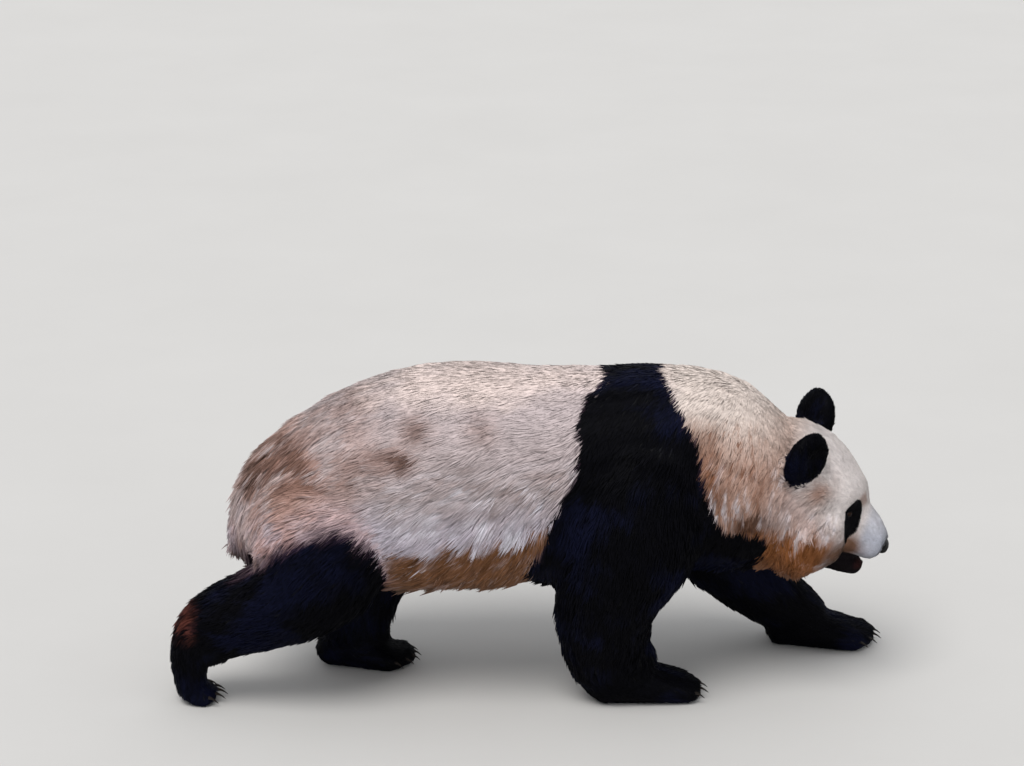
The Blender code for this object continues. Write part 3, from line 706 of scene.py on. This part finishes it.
def paintBlack(points, x, z, region, dark, tones):
    # black with navy patches of painted sheen, brown on the right heel, plum where it thins out
    m, shares = markings, blackShares
    fine, _, mottle, _, streak = tones
    # painted sheen: navy patches laid over the black where it would catch the sky
    blue = ramp(waves(points, 0.11, 35) + 0.15 * streak, -0.1, 0.9) * shares["navySheen"]
    colour = mixed(m["black"], m["navySheen"], blue)
    heel = isNode(region, "hind_right") * ramp(x, *heelFades["along"])
    heel = heel * ramp(z, *heelFades["low"]) * ramp(z, *heelFades["high"])
    colour = mixed(colour, m["heel"], shares["heel"] * heel * ramp(mottle + 0.4 * streak, -1.4, 0.2))
    colour = mixed(colour, m["plum"], shares["plum"] * ramp(dark, 0.95, 0.35))
    return colour * (1 + 0.10 * streak + 0.08 * fine)[:, None]


def paint(points, normals, region, strand, streak):
    # the coat's colour at each place, and how dark it is
    m = markings
    x, y, z = (points - [planShift, 0, 0]).T
    forward, sideways, up = inHead(points).T
    fine = grain(points, region, 0.0045, 32, 5.0)
    broad, mottle = waves(points, 0.09, 33), waves(points, 0.030, 34)
    tones = (fine, broad, mottle, strand, streak)
    colour = paintTrunk(x, y, z, normals, tones)
    colour = mixed(colour, paintNeck(x, z, tones), ramp(x + 0.01 * broad, *neckFades["along"]))
    head = isNode(region, "head", "lower_jaw", "neck", "ear") * ramp(forward, *headFades["along"])
    colour = mixed(colour, paintHead(forward, sideways, up, tones), head)
    # calmer on the crown and along the spine
    crown = head * ramp(up, *headFades["crown"])
    calm = 1 - 0.6 * np.maximum(crown, ramp(z, 0.62, 0.72) * (1 - head))
    colour = colour * (1 + calm * (0.04 * streak + 0.05 * strand + 0.03 * fine) + 0.04 * mottle)[:, None]

    dark = blackness(points, region)
    colour = mixed(colour, paintBlack(points, x, z, region, dark, tones), ramp(dark, 0.15, 0.65))
    patch = eyePatch(points) * head
    colour = mixed(colour, m["black"] * (1 + 0.2 * fine)[:, None], patch)
    jaw = isNode(region, "lower_jaw")
    rimmed = ramp(up, *lipFades["edge"]) * ramp(forward, *lipFades["along"])
    rimmed = rimmed * ramp(np.abs(sideways), *lipFades["side"])
    lips = head * np.maximum(jaw, rimmed)
    colour = mixed(colour, m["lip"], lips)
    inner = head * jaw * ramp(up, *gumFades["low"]) * ramp(up, *gumFades["high"])
    colour = mixed(colour, m["gum"], headShares["gum"] * inner * ramp(forward, *gumFades["along"]))
    return np.clip(colour, 0.0, 1.0), np.maximum.reduce([dark, patch, lips])


# every tuft is a thin closed spindle; one mesh for each part of the coat
coatSetting = {
    "cover": 4.0, "darkCover": 2.8, "mostTufts": 372000, "mostInPiece": 49500, "quickShare": 0.25,
    "lockSpacing": 0.010, "wander": 0.16, "lockTurn": 0.15, "ownTurn": 0.09,
    "shownAt": 0.80, "uneven": 0.035, "streamline": 0.60,
    "bendAt": 0.45, "startRise": 1.35, "endRise": 0.42,  # share of its length, shares of its lift
    "rootDepth": 0.0006, "floorGap": 0.0004, "bakeSize": 0.003, "softness": 0.80,
    "tones": (0.92, 0.98, 0.98, 1.02), "darkRootShadeTipSheen": (0.70, 0.97, 0.97, 1.25),  # root, middle, middle, tip: painted shade darkens the root, and on black tufts a painted sheen lightens the tip
}


def laySkin(coat):
    # the skin goes in under the coat by the height its tufts reach
    length, lift = coat["size"][:, lengthAt], np.radians(coat["size"][:, liftAt])
    bend, start, end = (coatSetting[key] for key in ("bendAt", "startRise", "endRise"))
    depth = length * (bend * np.sin(start * lift) + (1 - bend) * np.sin(end * lift))
    depth = depth + coatSetting["rootDepth"]
    depth = np.where(coat["points"][:, 2] < skinSetting["sole"], skinSetting["soleDepth"], depth)[:, None]
    for _ in range(skinSetting["depthRounds"]):
        depth = 0.5 * depth + 0.5 * neighbourMean(depth, coat["edges"], coat["count"])
    points = coat["points"] - coat["normals"] * depth
    points[:, 2] = np.maximum(points[:, 2], skinSetting["lowest"])
    return points


def shapeLids(points):
    # lids wrapped round each ball, a thin rim, a crease above, and the skin tucked in behind the opening
    e = eyeSetting
    for side in sides:
        share, _, rise = opening(points, side)
        reach = points - eyeCentres[side]
        distance = np.linalg.norm(reach, axis=1)
        away = reach / np.maximum(distance, 1e-6)[:, None]
        rim = e["rim"] * np.exp(-((share - e["rimAt"]) / 0.10) ** 2)
        crease = -e["crease"] * np.exp(-((share - e["creaseAt"]) / 0.10) ** 2) * ramp(rise, -10, 20)
        lid = e["radius"] + e["lid"] + rim + crease
        lid = lid + (e["radius"] * e["tuck"] - lid) * ramp(share, 1.03, 0.93)
        hold = ramp(share, 2.3, 1.35) * (distance < 0.028)
        target = distance * (1 - hold) + lid * hold
        points = eyeCentres[side] + away * target[:, None]
    return points


laidPoints = shapeLids(laySkin(coat))
skin.data.vertices.foreach_set("co", laidPoints.ravel())
skin.data.update()
pick(skin)
bpy.ops.object.shade_smooth()
skinColour, skinDark = paint(coat["points"], coat["normals"], coat["region"], coat["strand"], coat["streak"])
# the skin is painted a little darker than the coat: painted shade under the tufts
writeColour(skin.data, "coatColor", skinColour * skinSetting["tone"])
print("skin laid in")

# the parts of the coat and the nodes that each grows on; the head's and the trunk's are split in two
coatParts = {
    "coatJaw": ["lower_jaw"],
    "coatHead": ["head"],
    "coatEars": ["ear_right", "ear_left"],
    "coatNeck": ["neck"],
    "coatShoulders": ["chest"],
    "coatBarrel": ["belly"],
    "coatRump": ["hindquarters", "tail"],
    "coatForelegRight": ["front_right_upper_leg", "front_right_lower_leg", "front_right_paw"],
    "coatForelegLeft": ["front_left_upper_leg", "front_left_lower_leg", "front_left_paw"],
    "coatHindlegRight": ["hind_right_upper_leg", "hind_right_lower_leg", "hind_right_paw"],
    "coatHindlegLeft": ["hind_left_upper_leg", "hind_left_lower_leg", "hind_left_paw"],
}
splitParts = ("coatNeck", "coatShoulders", "coatBarrel", "coatRump")


def skinTriangles():
    skin.data.calc_loop_triangles()
    corners = np.empty(len(skin.data.loop_triangles) * 3, np.int64)
    skin.data.loop_triangles.foreach_get("vertices", corners)
    return corners.reshape(-1, 3)


def unwrap(points, corners):
    # the region's own unwrap: a mesh of its triangles, laid out flat
    used, inverse = np.unique(corners, return_inverse=True)
    mesh = bpy.data.meshes.new("unwrap")
    mesh.from_pydata(points[used].tolist(), [], inverse.reshape(-1, 3).tolist())
    piece = bpy.data.objects.new("unwrap", mesh)
    scene.collection.objects.link(piece)
    pick(piece)
    bpy.ops.object.mode_set(mode="EDIT")
    bpy.ops.mesh.select_all(action="SELECT")
    bpy.ops.uv.smart_project(angle_limit=math.radians(60), island_margin=0.008)
    bpy.ops.object.mode_set(mode="OBJECT")
    places = np.empty(len(mesh.loops) * 2)
    mesh.uv_layers[0].uv.foreach_get("vector", places)
    bpy.data.objects.remove(piece, do_unlink=True)
    return places.reshape(-1, 3, 2)


def triangleAreas(points, corners):
    first, second, third = points[corners].transpose(1, 0, 2)
    return 0.5 * np.linalg.norm(np.cross(second - first, third - first), axis=1)


def wantedTufts(points, corners):
    # how many tufts each triangle of skin asks for
    area = triangleAreas(points, corners)
    length = coat["size"][:, lengthAt][corners].mean(axis=1)
    width = coat["size"][:, widthAt][corners].mean(axis=1)
    dark = skinDark[corners].mean(axis=1)
    cover = coatSetting["cover"] + (coatSetting["darkCover"] - coatSetting["cover"]) * dark
    bare = coat["points"][:, 2][corners].mean(axis=1) < skinSetting["sole"]
    for side in eyeCentres:
        bare |= opening(points[corners].mean(axis=1), side)[0] < 1.22
    return np.where(bare, 0, area / (length * width * 0.5) * cover)


def sprinkle(wanted):
    # a triangle of skin and a place in it for every tuft
    total = np.cumsum(wanted)
    steps = np.arange(int(total[-1])) + dice.uniform(0, 1, int(total[-1]))
    chosen = np.minimum(np.searchsorted(total, steps), len(wanted) - 1)
    first, second = dice.uniform(0, 1, (2, len(chosen)))
    root = np.sqrt(first)
    return chosen, np.stack([1 - root, root * (1 - second), root * second], axis=1)


def chooseLocks(root, lay, length, area):
    # for each tuft, the number of the tuft that leads its lock
    lengthwise = unit(lay).mean(axis=0)
    flat = root - (root @ lengthwise)[:, None] * lengthwise * coatSetting["streamline"]
    apart = np.clip(np.median(length) / 0.035, 0.35, 1) * coatSetting["lockSpacing"]
    lockCount = int(np.clip(0.4 * area / apart**2, 40, len(root) / 6))
    leaders = dice.permutation(len(root))[:lockCount]
    tree = KDTree(len(leaders))
    for i, leader in enumerate(leaders):
        tree.insert(Vector(flat[leader]), i)
    tree.balance()
    return leaders[[tree.find(Vector(p))[1] for p in flat]]


def shapeTufts(root, normal, lay, size, lock):
    # each tuft's root, two middle corners and tip, and the directions it runs, spreads and faces
    s, count = coatSetting, len(root)
    length, width, lockPull = size[:, lengthAt], size[:, widthAt], size[:, lockAt]
    lift = np.radians(size[:, liftAt])
    wander = np.stack([waves(root, 0.06, seed, 2) for seed in (41, 42, 43)], axis=1)
    own = dice.normal(size=(count, 3))
    lockTurn = dice.normal(size=(count, 3))[lock]
    loose = (0.35 + lockPull * 1.8)[:, None]
    heading = unit(lay) + loose * (s["wander"] * wander + s["lockTurn"] * lockTurn) + s["ownTurn"] * own
    heading = unit(heading - (heading * normal).sum(axis=1, keepdims=True) * normal)
    rise = lift * np.exp(0.15 * dice.normal(size=count) + 0.14 * dice.normal(size=count)[lock])
    # where it would lie straight out of the skin, it stands up
    rise = rise + 0.9 * ramp((unit(lay) * normal).sum(axis=1), 0.80, 1.0)
    longer = 0.15 * dice.normal(size=count) + 0.08 * dice.normal(size=count)[lock]
    long = length * np.clip(1 + longer, 0.5, 1.5)
    # it starts steep and bends over, and its tip draws towards the leader's
    startRise, endRise = rise * s["startRise"], rise * s["endRise"]
    first = heading * np.cos(startRise)[:, None] + normal * np.sin(startRise)[:, None]
    second = heading * np.cos(endRise)[:, None] + normal * np.sin(endRise)[:, None]
    middle = root + first * (s["bendAt"] * long)[:, None]
    tip = middle + second * ((1 - s["bendAt"]) * long)[:, None]
    pull = (lockPull * dice.uniform(0.5, 1.4, count))[:, None]
    shift = tip[lock] + (root - root[lock]) * 0.35 - tip
    shift = shift * np.minimum(1, 0.5 * long / np.maximum(np.linalg.norm(shift, axis=1), 1e-6))[:, None]
    tip = tip + shift * pull
    middle = middle + shift * pull * 0.22

    along = unit(tip - root)
    across = unit(np.cross(along, normal) + 0.25 * own)
    upward = unit(np.cross(across, along))
    half = (width * dice.uniform(0.34, 0.62, count))[:, None]
    base = root - normal * s["rootDepth"]
    corner = np.stack([base, middle + across * half, middle - across * half, tip], axis=1)
    corner[:, :, 2] = np.maximum(corner[:, :, 2], s["floorGap"])
    return corner, along, across, upward


def buildTufts(name, corner):
    # one mesh of closed four-cornered tufts
    faces = np.array([(0, 1, 2), (3, 2, 1), (0, 2, 3), (0, 3, 1)])
    allFaces = (faces[None] + 4 * np.arange(len(corner))[:, None, None]).reshape(-1, 3)
    mesh = bpy.data.meshes.new(name)
    mesh.vertices.add(len(corner) * 4)
    mesh.vertices.foreach_set("co", corner.ravel())
    mesh.loops.add(len(allFaces) * 3)
    mesh.loops.foreach_set("vertex_index", allFaces.ravel())
    mesh.polygons.add(len(allFaces))
    mesh.polygons.foreach_set("loop_start", np.arange(len(allFaces)) * 3)
    mesh.update(calc_edges=True)
    mesh.polygons.foreach_set("use_smooth", np.ones(len(allFaces), bool))
    return mesh, allFaces


def growTufts(name, points, normals, corners, wanted, share, finish):
    # one part of the coat, grown on its triangles of skin
    chosen, weights = sprinkle(wanted * share)
    ring = corners[chosen]

    def at(values):
        return (values[ring] * weights[:, :, None]).sum(axis=1)

    root, normal, lay = at(points), unit(at(normals)), at(coat["lay"])
    surface, surfaceNormal, size = at(coat["points"]), unit(at(coat["normals"])), at(coat["size"])
    region = coat["region"][ring[:, 0]]
    count = len(root)
    strand, streak = ((coat[each][ring] * weights).sum(axis=1) for each in ("strand", "streak"))
    # a tuft takes the colour of the place that it covers, not of its root
    shown = surface + unit(lay) * (coatSetting["shownAt"] * size[:, :1])
    colour, dark = paint(shown, surfaceNormal, region, strand, streak)
    lock = chooseLocks(root, lay, size[:, lengthAt], triangleAreas(points, corners).sum())
    corner, along, across, upward = shapeTufts(root, normal, lay, size, lock)
    mesh, faces = buildTufts(name, corner)

    own, shared = dice.normal(size=count), dice.normal(size=count)[lock]
    uneven = coatSetting["uneven"] * own + coatSetting["uneven"] * shared
    colour = colour * np.clip(1 + uneven * (1 + 1.5 * size[:, lockAt]), 0.6, 1.4)[:, None]
    # each tuft is painted darker at its root as painted shade under the coat, and black tufts lighter at the
    # tip as painted sheen
    isDark = ramp(dark, 0.3, 0.7)[:, None]
    shade = np.array(coatSetting["tones"]) * (1 - isDark) + np.array(coatSetting["darkRootShadeTipSheen"]) * isDark
    writeColour(mesh, "coatColor", (colour[:, None, :] * shade[:, :, None]).reshape(-1, 3))

    # in the bake each tuft takes a small diamond at its root's place
    layout = unwrap(points, corners)
    place = (layout[chosen] * weights[:, :, None]).sum(axis=1)
    diamond = np.array([(0, -0.5), (-0.5, 0), (0.5, 0), (0, 0.5)]) * coatSetting["bakeSize"]
    spots = (place[:, None, :] + diamond[None]).reshape(-1, 2)
    uv = mesh.uv_layers.new(name="OFBake")
    uv.uv.foreach_set("vector", np.clip(spots[faces.ravel()], 0, 1).ravel())

    # soft shading: each tuft's normals lean towards the body's own
    body = surfaceNormal[:, None, :]
    sideways = np.stack([0 * across, across, -across, 0.4 * along], axis=1)
    softness = coatSetting["softness"]
    soft = unit(body * softness + sideways * (1 - softness) + upward[:, None, :] * (1 - softness) * 0.5)
    mesh.normals_split_custom_set_from_vertices(soft.reshape(-1, 3).tolist())

    piece = bpy.data.objects.new(name, mesh)
    scene.collection.objects.link(piece)
    for each in finish:
        mesh.materials.append(each)
    mesh.polygons.foreach_set("material_index", np.repeat((dark > 0.5).astype(np.int32), 4))
    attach(piece, "root")
    print(name, count, "tufts,", len(np.unique(lock)), "locks")
    return piece


def newMaterial(name, roughness, specular=0.4, sheen=0.0, sheenTint=(1, 1, 1)):
    made = bpy.data.materials.new(name)
    made.use_nodes = True
    shader = made.node_tree.nodes["Principled BSDF"]
    shader.inputs["Roughness"].default_value = roughness
    shader.inputs["Specular IOR Level"].default_value = specular
    shader.inputs["Sheen Weight"].default_value = sheen
    shader.inputs["Sheen Tint"].default_value = (*sheenTint, 1)
    shader.inputs["Sheen Roughness"].default_value = 0.45
    return made, made.node_tree, shader


def objectNoise(tree, scale, detail=3, roughness=0.6, stretch=None):
    # a noise on the object's own coordinates
    place = tree.nodes.new("ShaderNodeTexCoord")
    noise = tree.nodes.new("ShaderNodeTexNoise")
    noise.inputs["Scale"].default_value = scale
    noise.inputs["Detail"].default_value = detail
    noise.inputs["Roughness"].default_value = roughness
    source = place.outputs["Object"]
    if stretch:
        mapping = tree.nodes.new("ShaderNodeMapping")
        mapping.inputs["Scale"].default_value = stretch
        tree.links.new(source, mapping.inputs["Vector"])
        source = mapping.outputs["Vector"]
    tree.links.new(source, noise.inputs["Vector"])
    return noise.outputs["Fac"]


def spread(tree, value, low, high):
    # a noise's usual range stretched to run from low to high
    remap = tree.nodes.new("ShaderNodeMapRange")
    remap.inputs["From Min"].default_value = 0.3
    remap.inputs["From Max"].default_value = 0.7
    remap.inputs["To Min"].default_value = low
    remap.inputs["To Max"].default_value = high
    tree.links.new(value, remap.inputs["Value"])
    return remap.outputs["Result"]


def tonedAttribute(tree, shader, attribute, tone):
    # the painted colour, lightened and darkened by a fine pattern
    paintNode = tree.nodes.new("ShaderNodeAttribute")
    paintNode.attribute_name = attribute
    scale = tree.nodes.new("ShaderNodeVectorMath")
    scale.operation = "SCALE"
    tree.links.new(paintNode.outputs["Color"], scale.inputs[0])
    tree.links.new(tone, scale.inputs["Scale"])
    tree.links.new(scale.outputs["Vector"], shader.inputs["Base Color"])


def twoTones(tree, shader, value, first, second, stops=(0, 1)):
    # the value turned into a colour between two tones
    tones = tree.nodes.new("ShaderNodeValToRGB")
    for element, tone, stop in zip(tones.color_ramp.elements, (first, second), stops):
        element.color = (*tone, 1)
        element.position = stop
    tree.links.new(value, tones.inputs["Fac"])
    tree.links.new(tones.outputs["Color"], shader.inputs["Base Color"])


def addBump(tree, shader, height, strength, distance):
    bump = tree.nodes.new("ShaderNodeBump")
    bump.inputs["Strength"].default_value = strength
    bump.inputs["Distance"].default_value = distance
    tree.links.new(height, bump.inputs["Height"])
    tree.links.new(bump.outputs["Normal"], shader.inputs["Normal"])


furSetting = {
    "paleFur": {"roughness": 0.75, "specular": 0.12, "sheen": 0.12, "sheenTint": (1, 0.93, 0.86),
                "grain": 140, "low": 0.93, "high": 1.07},
    "blackFur": {"roughness": 0.52, "specular": 0.035, "sheen": 0.004, "sheenTint": (0.45, 0.55, 1),
                 "grain": 140, "low": 0.80, "high": 1.20},
}


def furMaterial(name):
    s = furSetting[name]
    made, tree, shader = newMaterial(name, s["roughness"], s["specular"], s["sheen"], s["sheenTint"])
    fleck = spread(tree, objectNoise(tree, s["grain"]), s["low"], s["high"])
    tonedAttribute(tree, shader, "coatColor", fleck)
    return made


furs = [furMaterial(name) for name in ("paleFur", "blackFur")]


def makeHide():
    made, tree, shader = newMaterial("skinHide", 0.75, 0.20)
    tonedAttribute(tree, shader, "coatColor", spread(tree, objectNoise(tree, 260), 0.82, 1.12))
    addBump(tree, shader, objectNoise(tree, 420, 4, 0.6, (0.5, 1.0, 1.0)), 0.5, 0.0008)
    return made


skin.data.materials.clear()
skin.data.materials.append(makeHide())
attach(skin, "root")
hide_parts(*fleshNodes)


def growCoat():
    # every part gets its tufts, with no more in all and in one part than the setting allows
    triangles = skinTriangles()
    points, normals = meshArrays(skin.data)
    region = coat["region"][triangles[:, 0]]
    left = coat["points"][triangles].mean(axis=1)[:, 1] > 0
    front = inHead(coat["points"][triangles].mean(axis=1))[:, 0] > 0.030
    wanted = wantedTufts(points, triangles)
    parts = {}
    for name, nodes in coatParts.items():
        inPart = np.isin(region, [nodeNumber[n] for n in nodes])
        if name == "coatHead":
            for where, chosen in (("Face", front), ("Head", ~front)):
                parts["coat" + where + "Right"] = inPart & chosen & ~left
                parts["coat" + where + "Left"] = inPart & chosen & left
        elif name in splitParts:
            parts[name + "Right"] = inPart & ~left
            parts[name + "Left"] = inPart & left
        else:
            parts[name] = inPart
    share = min(1.0, coatSetting["mostTufts"] / wanted.sum())
    print("tufts wanted", int(wanted.sum()), "share", round(float(share), 3))
    for name, inPart in parts.items():
        own = min(share, coatSetting["mostInPiece"] / wanted[inPart].sum())
        piece = growTufts(name, points, normals, triangles[inPart], wanted[inPart], own, furs)


growCoat()
print("coat grown")


def replaceNode(piece, node):
    # the piece stands for the CAD node, which is hidden
    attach(piece, "root")
    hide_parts(node)


# angles from the gaze in degrees: from where to where each tone or swelling sets in
eyeball = {
    "bulge": (40, 15), "irisEdge": (27, 33), "white": (33, 37), "whiteRim": (40, 75),
    "pupil": (6.5, 13.0), "pupilEdge": (1.15, 0.9),
    "tones": {"iris": tint(40, 24, 15), "spoke": tint(22, 14, 10), "ring": tint(16, 10, 9),
              "white": tint(66, 50, 44), "dimWhite": tint(40, 28, 26), "pupil": tint(4, 4, 5)},
}


def makeEye(side):
    e, tones = eyeSetting, eyeball["tones"]
    deselectAll()
    bpy.ops.mesh.primitive_uv_sphere_add(segments=64, ring_count=48, radius=e["radius"], location=(0, 0, 0))
    ball = bpy.context.active_object
    ball.name = "eyeball" + side.capitalize()
    axes = eyeAxes(side)
    pick(ball)
    turn = Matrix((np.cross(axes[2], axes[0]), axes[2], axes[0])).transposed().to_4x4()
    ball.data.transform(Matrix.Translation(eyeCentres[side]) @ turn)
    points, _ = meshArrays(ball.data)
    reach = points - eyeCentres[side]
    _, across, rise = opening(points, side)
    turned = np.degrees(np.arccos(np.clip(unit(reach) @ axes[0], -1, 1)))
    reach = reach * (1 + e["cornea"] / e["radius"] * ramp(turned, *eyeball["bulge"]))[:, None]
    ball.data.vertices.foreach_set("co", (reach + eyeCentres[side]).ravel())
    # slit pupil, dark brown iris with spokes, a darker ring round it, dim white
    spokes = waves(np.stack([np.arctan2(rise, across) * 2.2, turned * 0.01, 0 * rise], axis=1), 0.5, 51)
    every = np.ones((len(points), 1))
    iris = mixed(tones["iris"] * every, tones["spoke"], ramp(spokes, -0.4, 0.8))
    iris = mixed(iris, tones["ring"], ramp(turned, *eyeball["irisEdge"]))
    white = mixed(tones["white"] * every, tones["dimWhite"], ramp(turned, *eyeball["whiteRim"]))
    colour = mixed(iris, white, ramp(turned, *eyeball["white"]))
    wide, tall = eyeball["pupil"]
    pupil = ramp(np.hypot(across / wide, rise / tall), *eyeball["pupilEdge"])
    writeColour(ball.data, "eyeColour", mixed(colour, tones["pupil"], pupil))
    bpy.ops.object.shade_smooth()
    ball.data.materials.clear()
    ball.data.materials.append(eyeGlass)
    replaceNode(ball, "eye_" + side)


def makeEyeGlass():
    made, tree, shader = newMaterial("eyeGlass", 0.16, 0.04)
    shader.inputs["Coat Weight"].default_value = 0.04
    shader.inputs["Coat Roughness"].default_value = 0.03
    tonedAttribute(tree, shader, "eyeColour", spread(tree, objectNoise(tree, 900), 0.85, 1.12))
    return made


eyeGlass = makeEyeGlass()
for side in sides:
    makeEye(side)

noseSetting = {
    "radii": (0.0185, 0.0275, 0.0180), "squareness": 2.5, "topWidth": 0.14, "pebble": 0.00018,
    "nostril": 0.0075, "slit": 0.0035, "groove": 0.0014, "rim": 0.0009,  # how deep, and how high the rim
    "nostrilAt": (0.0118, -0.0010), "nostrilSize": (0.0050, 0.0046), "rimRadius": 0.0074, "rimWidth": 0.0016,
    "leather": tint(8, 8, 9), "inside": tint(5, 4, 5),
}


def makeNoseLeather():
    made, tree, shader = newMaterial("noseLeather", 0.45, 0.10)
    shader.inputs["Coat Weight"].default_value = 0.08
    shader.inputs["Coat Roughness"].default_value = 0.18
    tonedAttribute(tree, shader, "noseColour", spread(tree, objectNoise(tree, 700), 0.8, 1.25))
    cells = tree.nodes.new("ShaderNodeTexVoronoi")
    cells.inputs["Scale"].default_value = 820
    place = tree.nodes.new("ShaderNodeTexCoord")
    tree.links.new(place.outputs["Object"], cells.inputs["Vector"])
    addBump(tree, shader, cells.outputs["Distance"], 0.55, 0.0006)
    return made


def makeNose():
    s = noseSetting
    deselectAll()
    bpy.ops.mesh.primitive_uv_sphere_add(segments=128, ring_count=96, radius=1, location=(0, 0, 0))
    pad = bpy.context.active_object
    pad.name = "nosePad"
    points, _ = meshArrays(pad.data)
    way = unit(points)
    square = (np.abs(way) ** s["squareness"]).sum(axis=1) ** (-1 / s["squareness"])
    shape = way * square[:, None] * np.array(s["radii"]) * (1, 0.96, 0.96)
    forward, sideways, up = shape.T
    sideways = sideways * (1 + s["topWidth"] * way[:, 2])
    front = ramp(way[:, 0], -0.1, 0.5)
    # two round nostrils, each with a slit that runs out and down, and a groove between them
    out = np.abs(sideways) - s["nostrilAt"][0]
    above = up - s["nostrilAt"][1]
    wide, tall = s["nostrilSize"]
    hole = np.exp(-((out / wide) ** 2 + (above / tall) ** 2) ** 1.5)
    slit = np.exp(-(((above + 0.0035 + 0.30 * out) / 0.0021) ** 2)) * ramp(out, -0.0018, 0.0022)
    slit = slit * ramp(out, 0.0182, 0.0102)
    groove = np.exp(-(sideways / 0.0011) ** 2) * ramp(up, 0.004, -0.004)
    rimmed = np.exp(-((np.hypot(out / 1.1, above) - s["rimRadius"]) / s["rimWidth"]) ** 2)
    dent = s["nostril"] * hole + s["slit"] * slit + s["groove"] * groove - s["rim"] * rimmed
    pebbles = s["pebble"] * waves(shape, 0.0022, 61, 2)
    moved = np.stack([forward, sideways, up], axis=1) - way * (front * dent - pebbles)[:, None]
    world = np.array(noseCentre) + moved @ headAxes.T
    pad.data.vertices.foreach_set("co", world.ravel())
    pad.data.update()
    pick(pad)
    bpy.ops.object.shade_smooth()
    deep = np.clip(front * (hole + 0.6 * slit), 0, 1)
    leather = s["leather"] * np.ones((len(points), 1)) * (1 + 0.25 * waves(shape, 0.006, 62))[:, None]
    writeColour(pad.data, "noseColour", mixed(leather, s["inside"], deep))
    pad.data.materials.clear()
    pad.data.materials.append(makeNoseLeather())
    replaceNode(pad, "nose")


makeNose()


def makeHorn():
    # worn dark horn, streaked along the claw
    made, tree, shader = newMaterial("clawHorn", 0.42, 0.25)
    streaks = objectNoise(tree, 180, 4, 0.65, (0.35, 1.6, 0.8))
    twoTones(tree, shader, streaks, tint(14, 12, 11), tint(46, 38, 32), (0.35, 0.75))
    addBump(tree, shader, streaks, 0.4, 0.0005)
    return made


horn = makeHorn()
for name in frame["nodes"]:
    if "claw" in name:
        claw = scene.objects[name]
        claw.data.materials.clear()
        claw.data.materials.append(horn)
print("eyes, nose and claws done")


def makeFloor():
    deselectAll()
    bpy.ops.mesh.primitive_plane_add(size=80, location=(0, 0, 0))
    floor = bpy.context.active_object
    floor.name = "floor"
    made, tree, shader = newMaterial("floorFinish", 0.9, 0.1)
    twoTones(tree, shader, objectNoise(tree, 1.5, 5), (0.530, 0.520, 0.505), (0.570, 0.560, 0.545))
    floor.data.materials.append(made)


lightSetting = {
    "sun": 1.9, "sunSize": 34, "sunFrom": (-0.32, -0.58, 1.30), "sunColour": (1.0, 0.985, 0.965),
    "sky": 0.80, "skyColour": (0.95, 0.97, 1.0),
}


def makeLight():
    light = bpy.data.lights.new("softSun", "SUN")
    light.energy = lightSetting["sun"]
    light.angle = math.radians(lightSetting["sunSize"])
    light.color = lightSetting["sunColour"]
    holder = bpy.data.objects.new("softSun", light)
    holder.location = Vector(lightSetting["sunFrom"]) * 4
    holder.rotation_mode = "QUATERNION"
    holder.rotation_quaternion = (-Vector(lightSetting["sunFrom"])).to_track_quat("-Z", "Y")
    scene.collection.objects.link(holder)
    world = bpy.data.worlds.new("studio")
    scene.world = world
    world.use_nodes = True
    background = world.node_tree.nodes["Background"]
    background.inputs["Color"].default_value = (*lightSetting["skyColour"], 1)
    background.inputs["Strength"].default_value = lightSetting["sky"]
    scene.view_settings.view_transform = "Standard"


cameraSetting = {
    "distance": 7.0, "elevation": 18.0, "viewWidth": 2.3813953,  # metres from edge to edge at the aim
    "aim": (-0.037, 0, 0.734), "sensor": 36,
}


def makeCamera():
    lens = bpy.data.cameras.new("camera")
    holder = bpy.data.objects.new("camera", lens)
    scene.collection.objects.link(holder)
    tilt = math.radians(cameraSetting["elevation"])
    back = Vector((0, -math.cos(tilt), math.sin(tilt)))
    aim = Vector(cameraSetting["aim"]) + Vector((planShift, 0, 0))
    holder.location = aim + back * cameraSetting["distance"]
    holder.rotation_mode = "QUATERNION"
    holder.rotation_quaternion = (-back).to_track_quat("-Z", "Y")
    lens.sensor_width = cameraSetting["sensor"]
    lens.lens = cameraSetting["sensor"] * cameraSetting["distance"] / cameraSetting["viewWidth"]
    lens.clip_end = 200
    scene.camera = holder


makeFloor()
makeLight()
makeCamera()
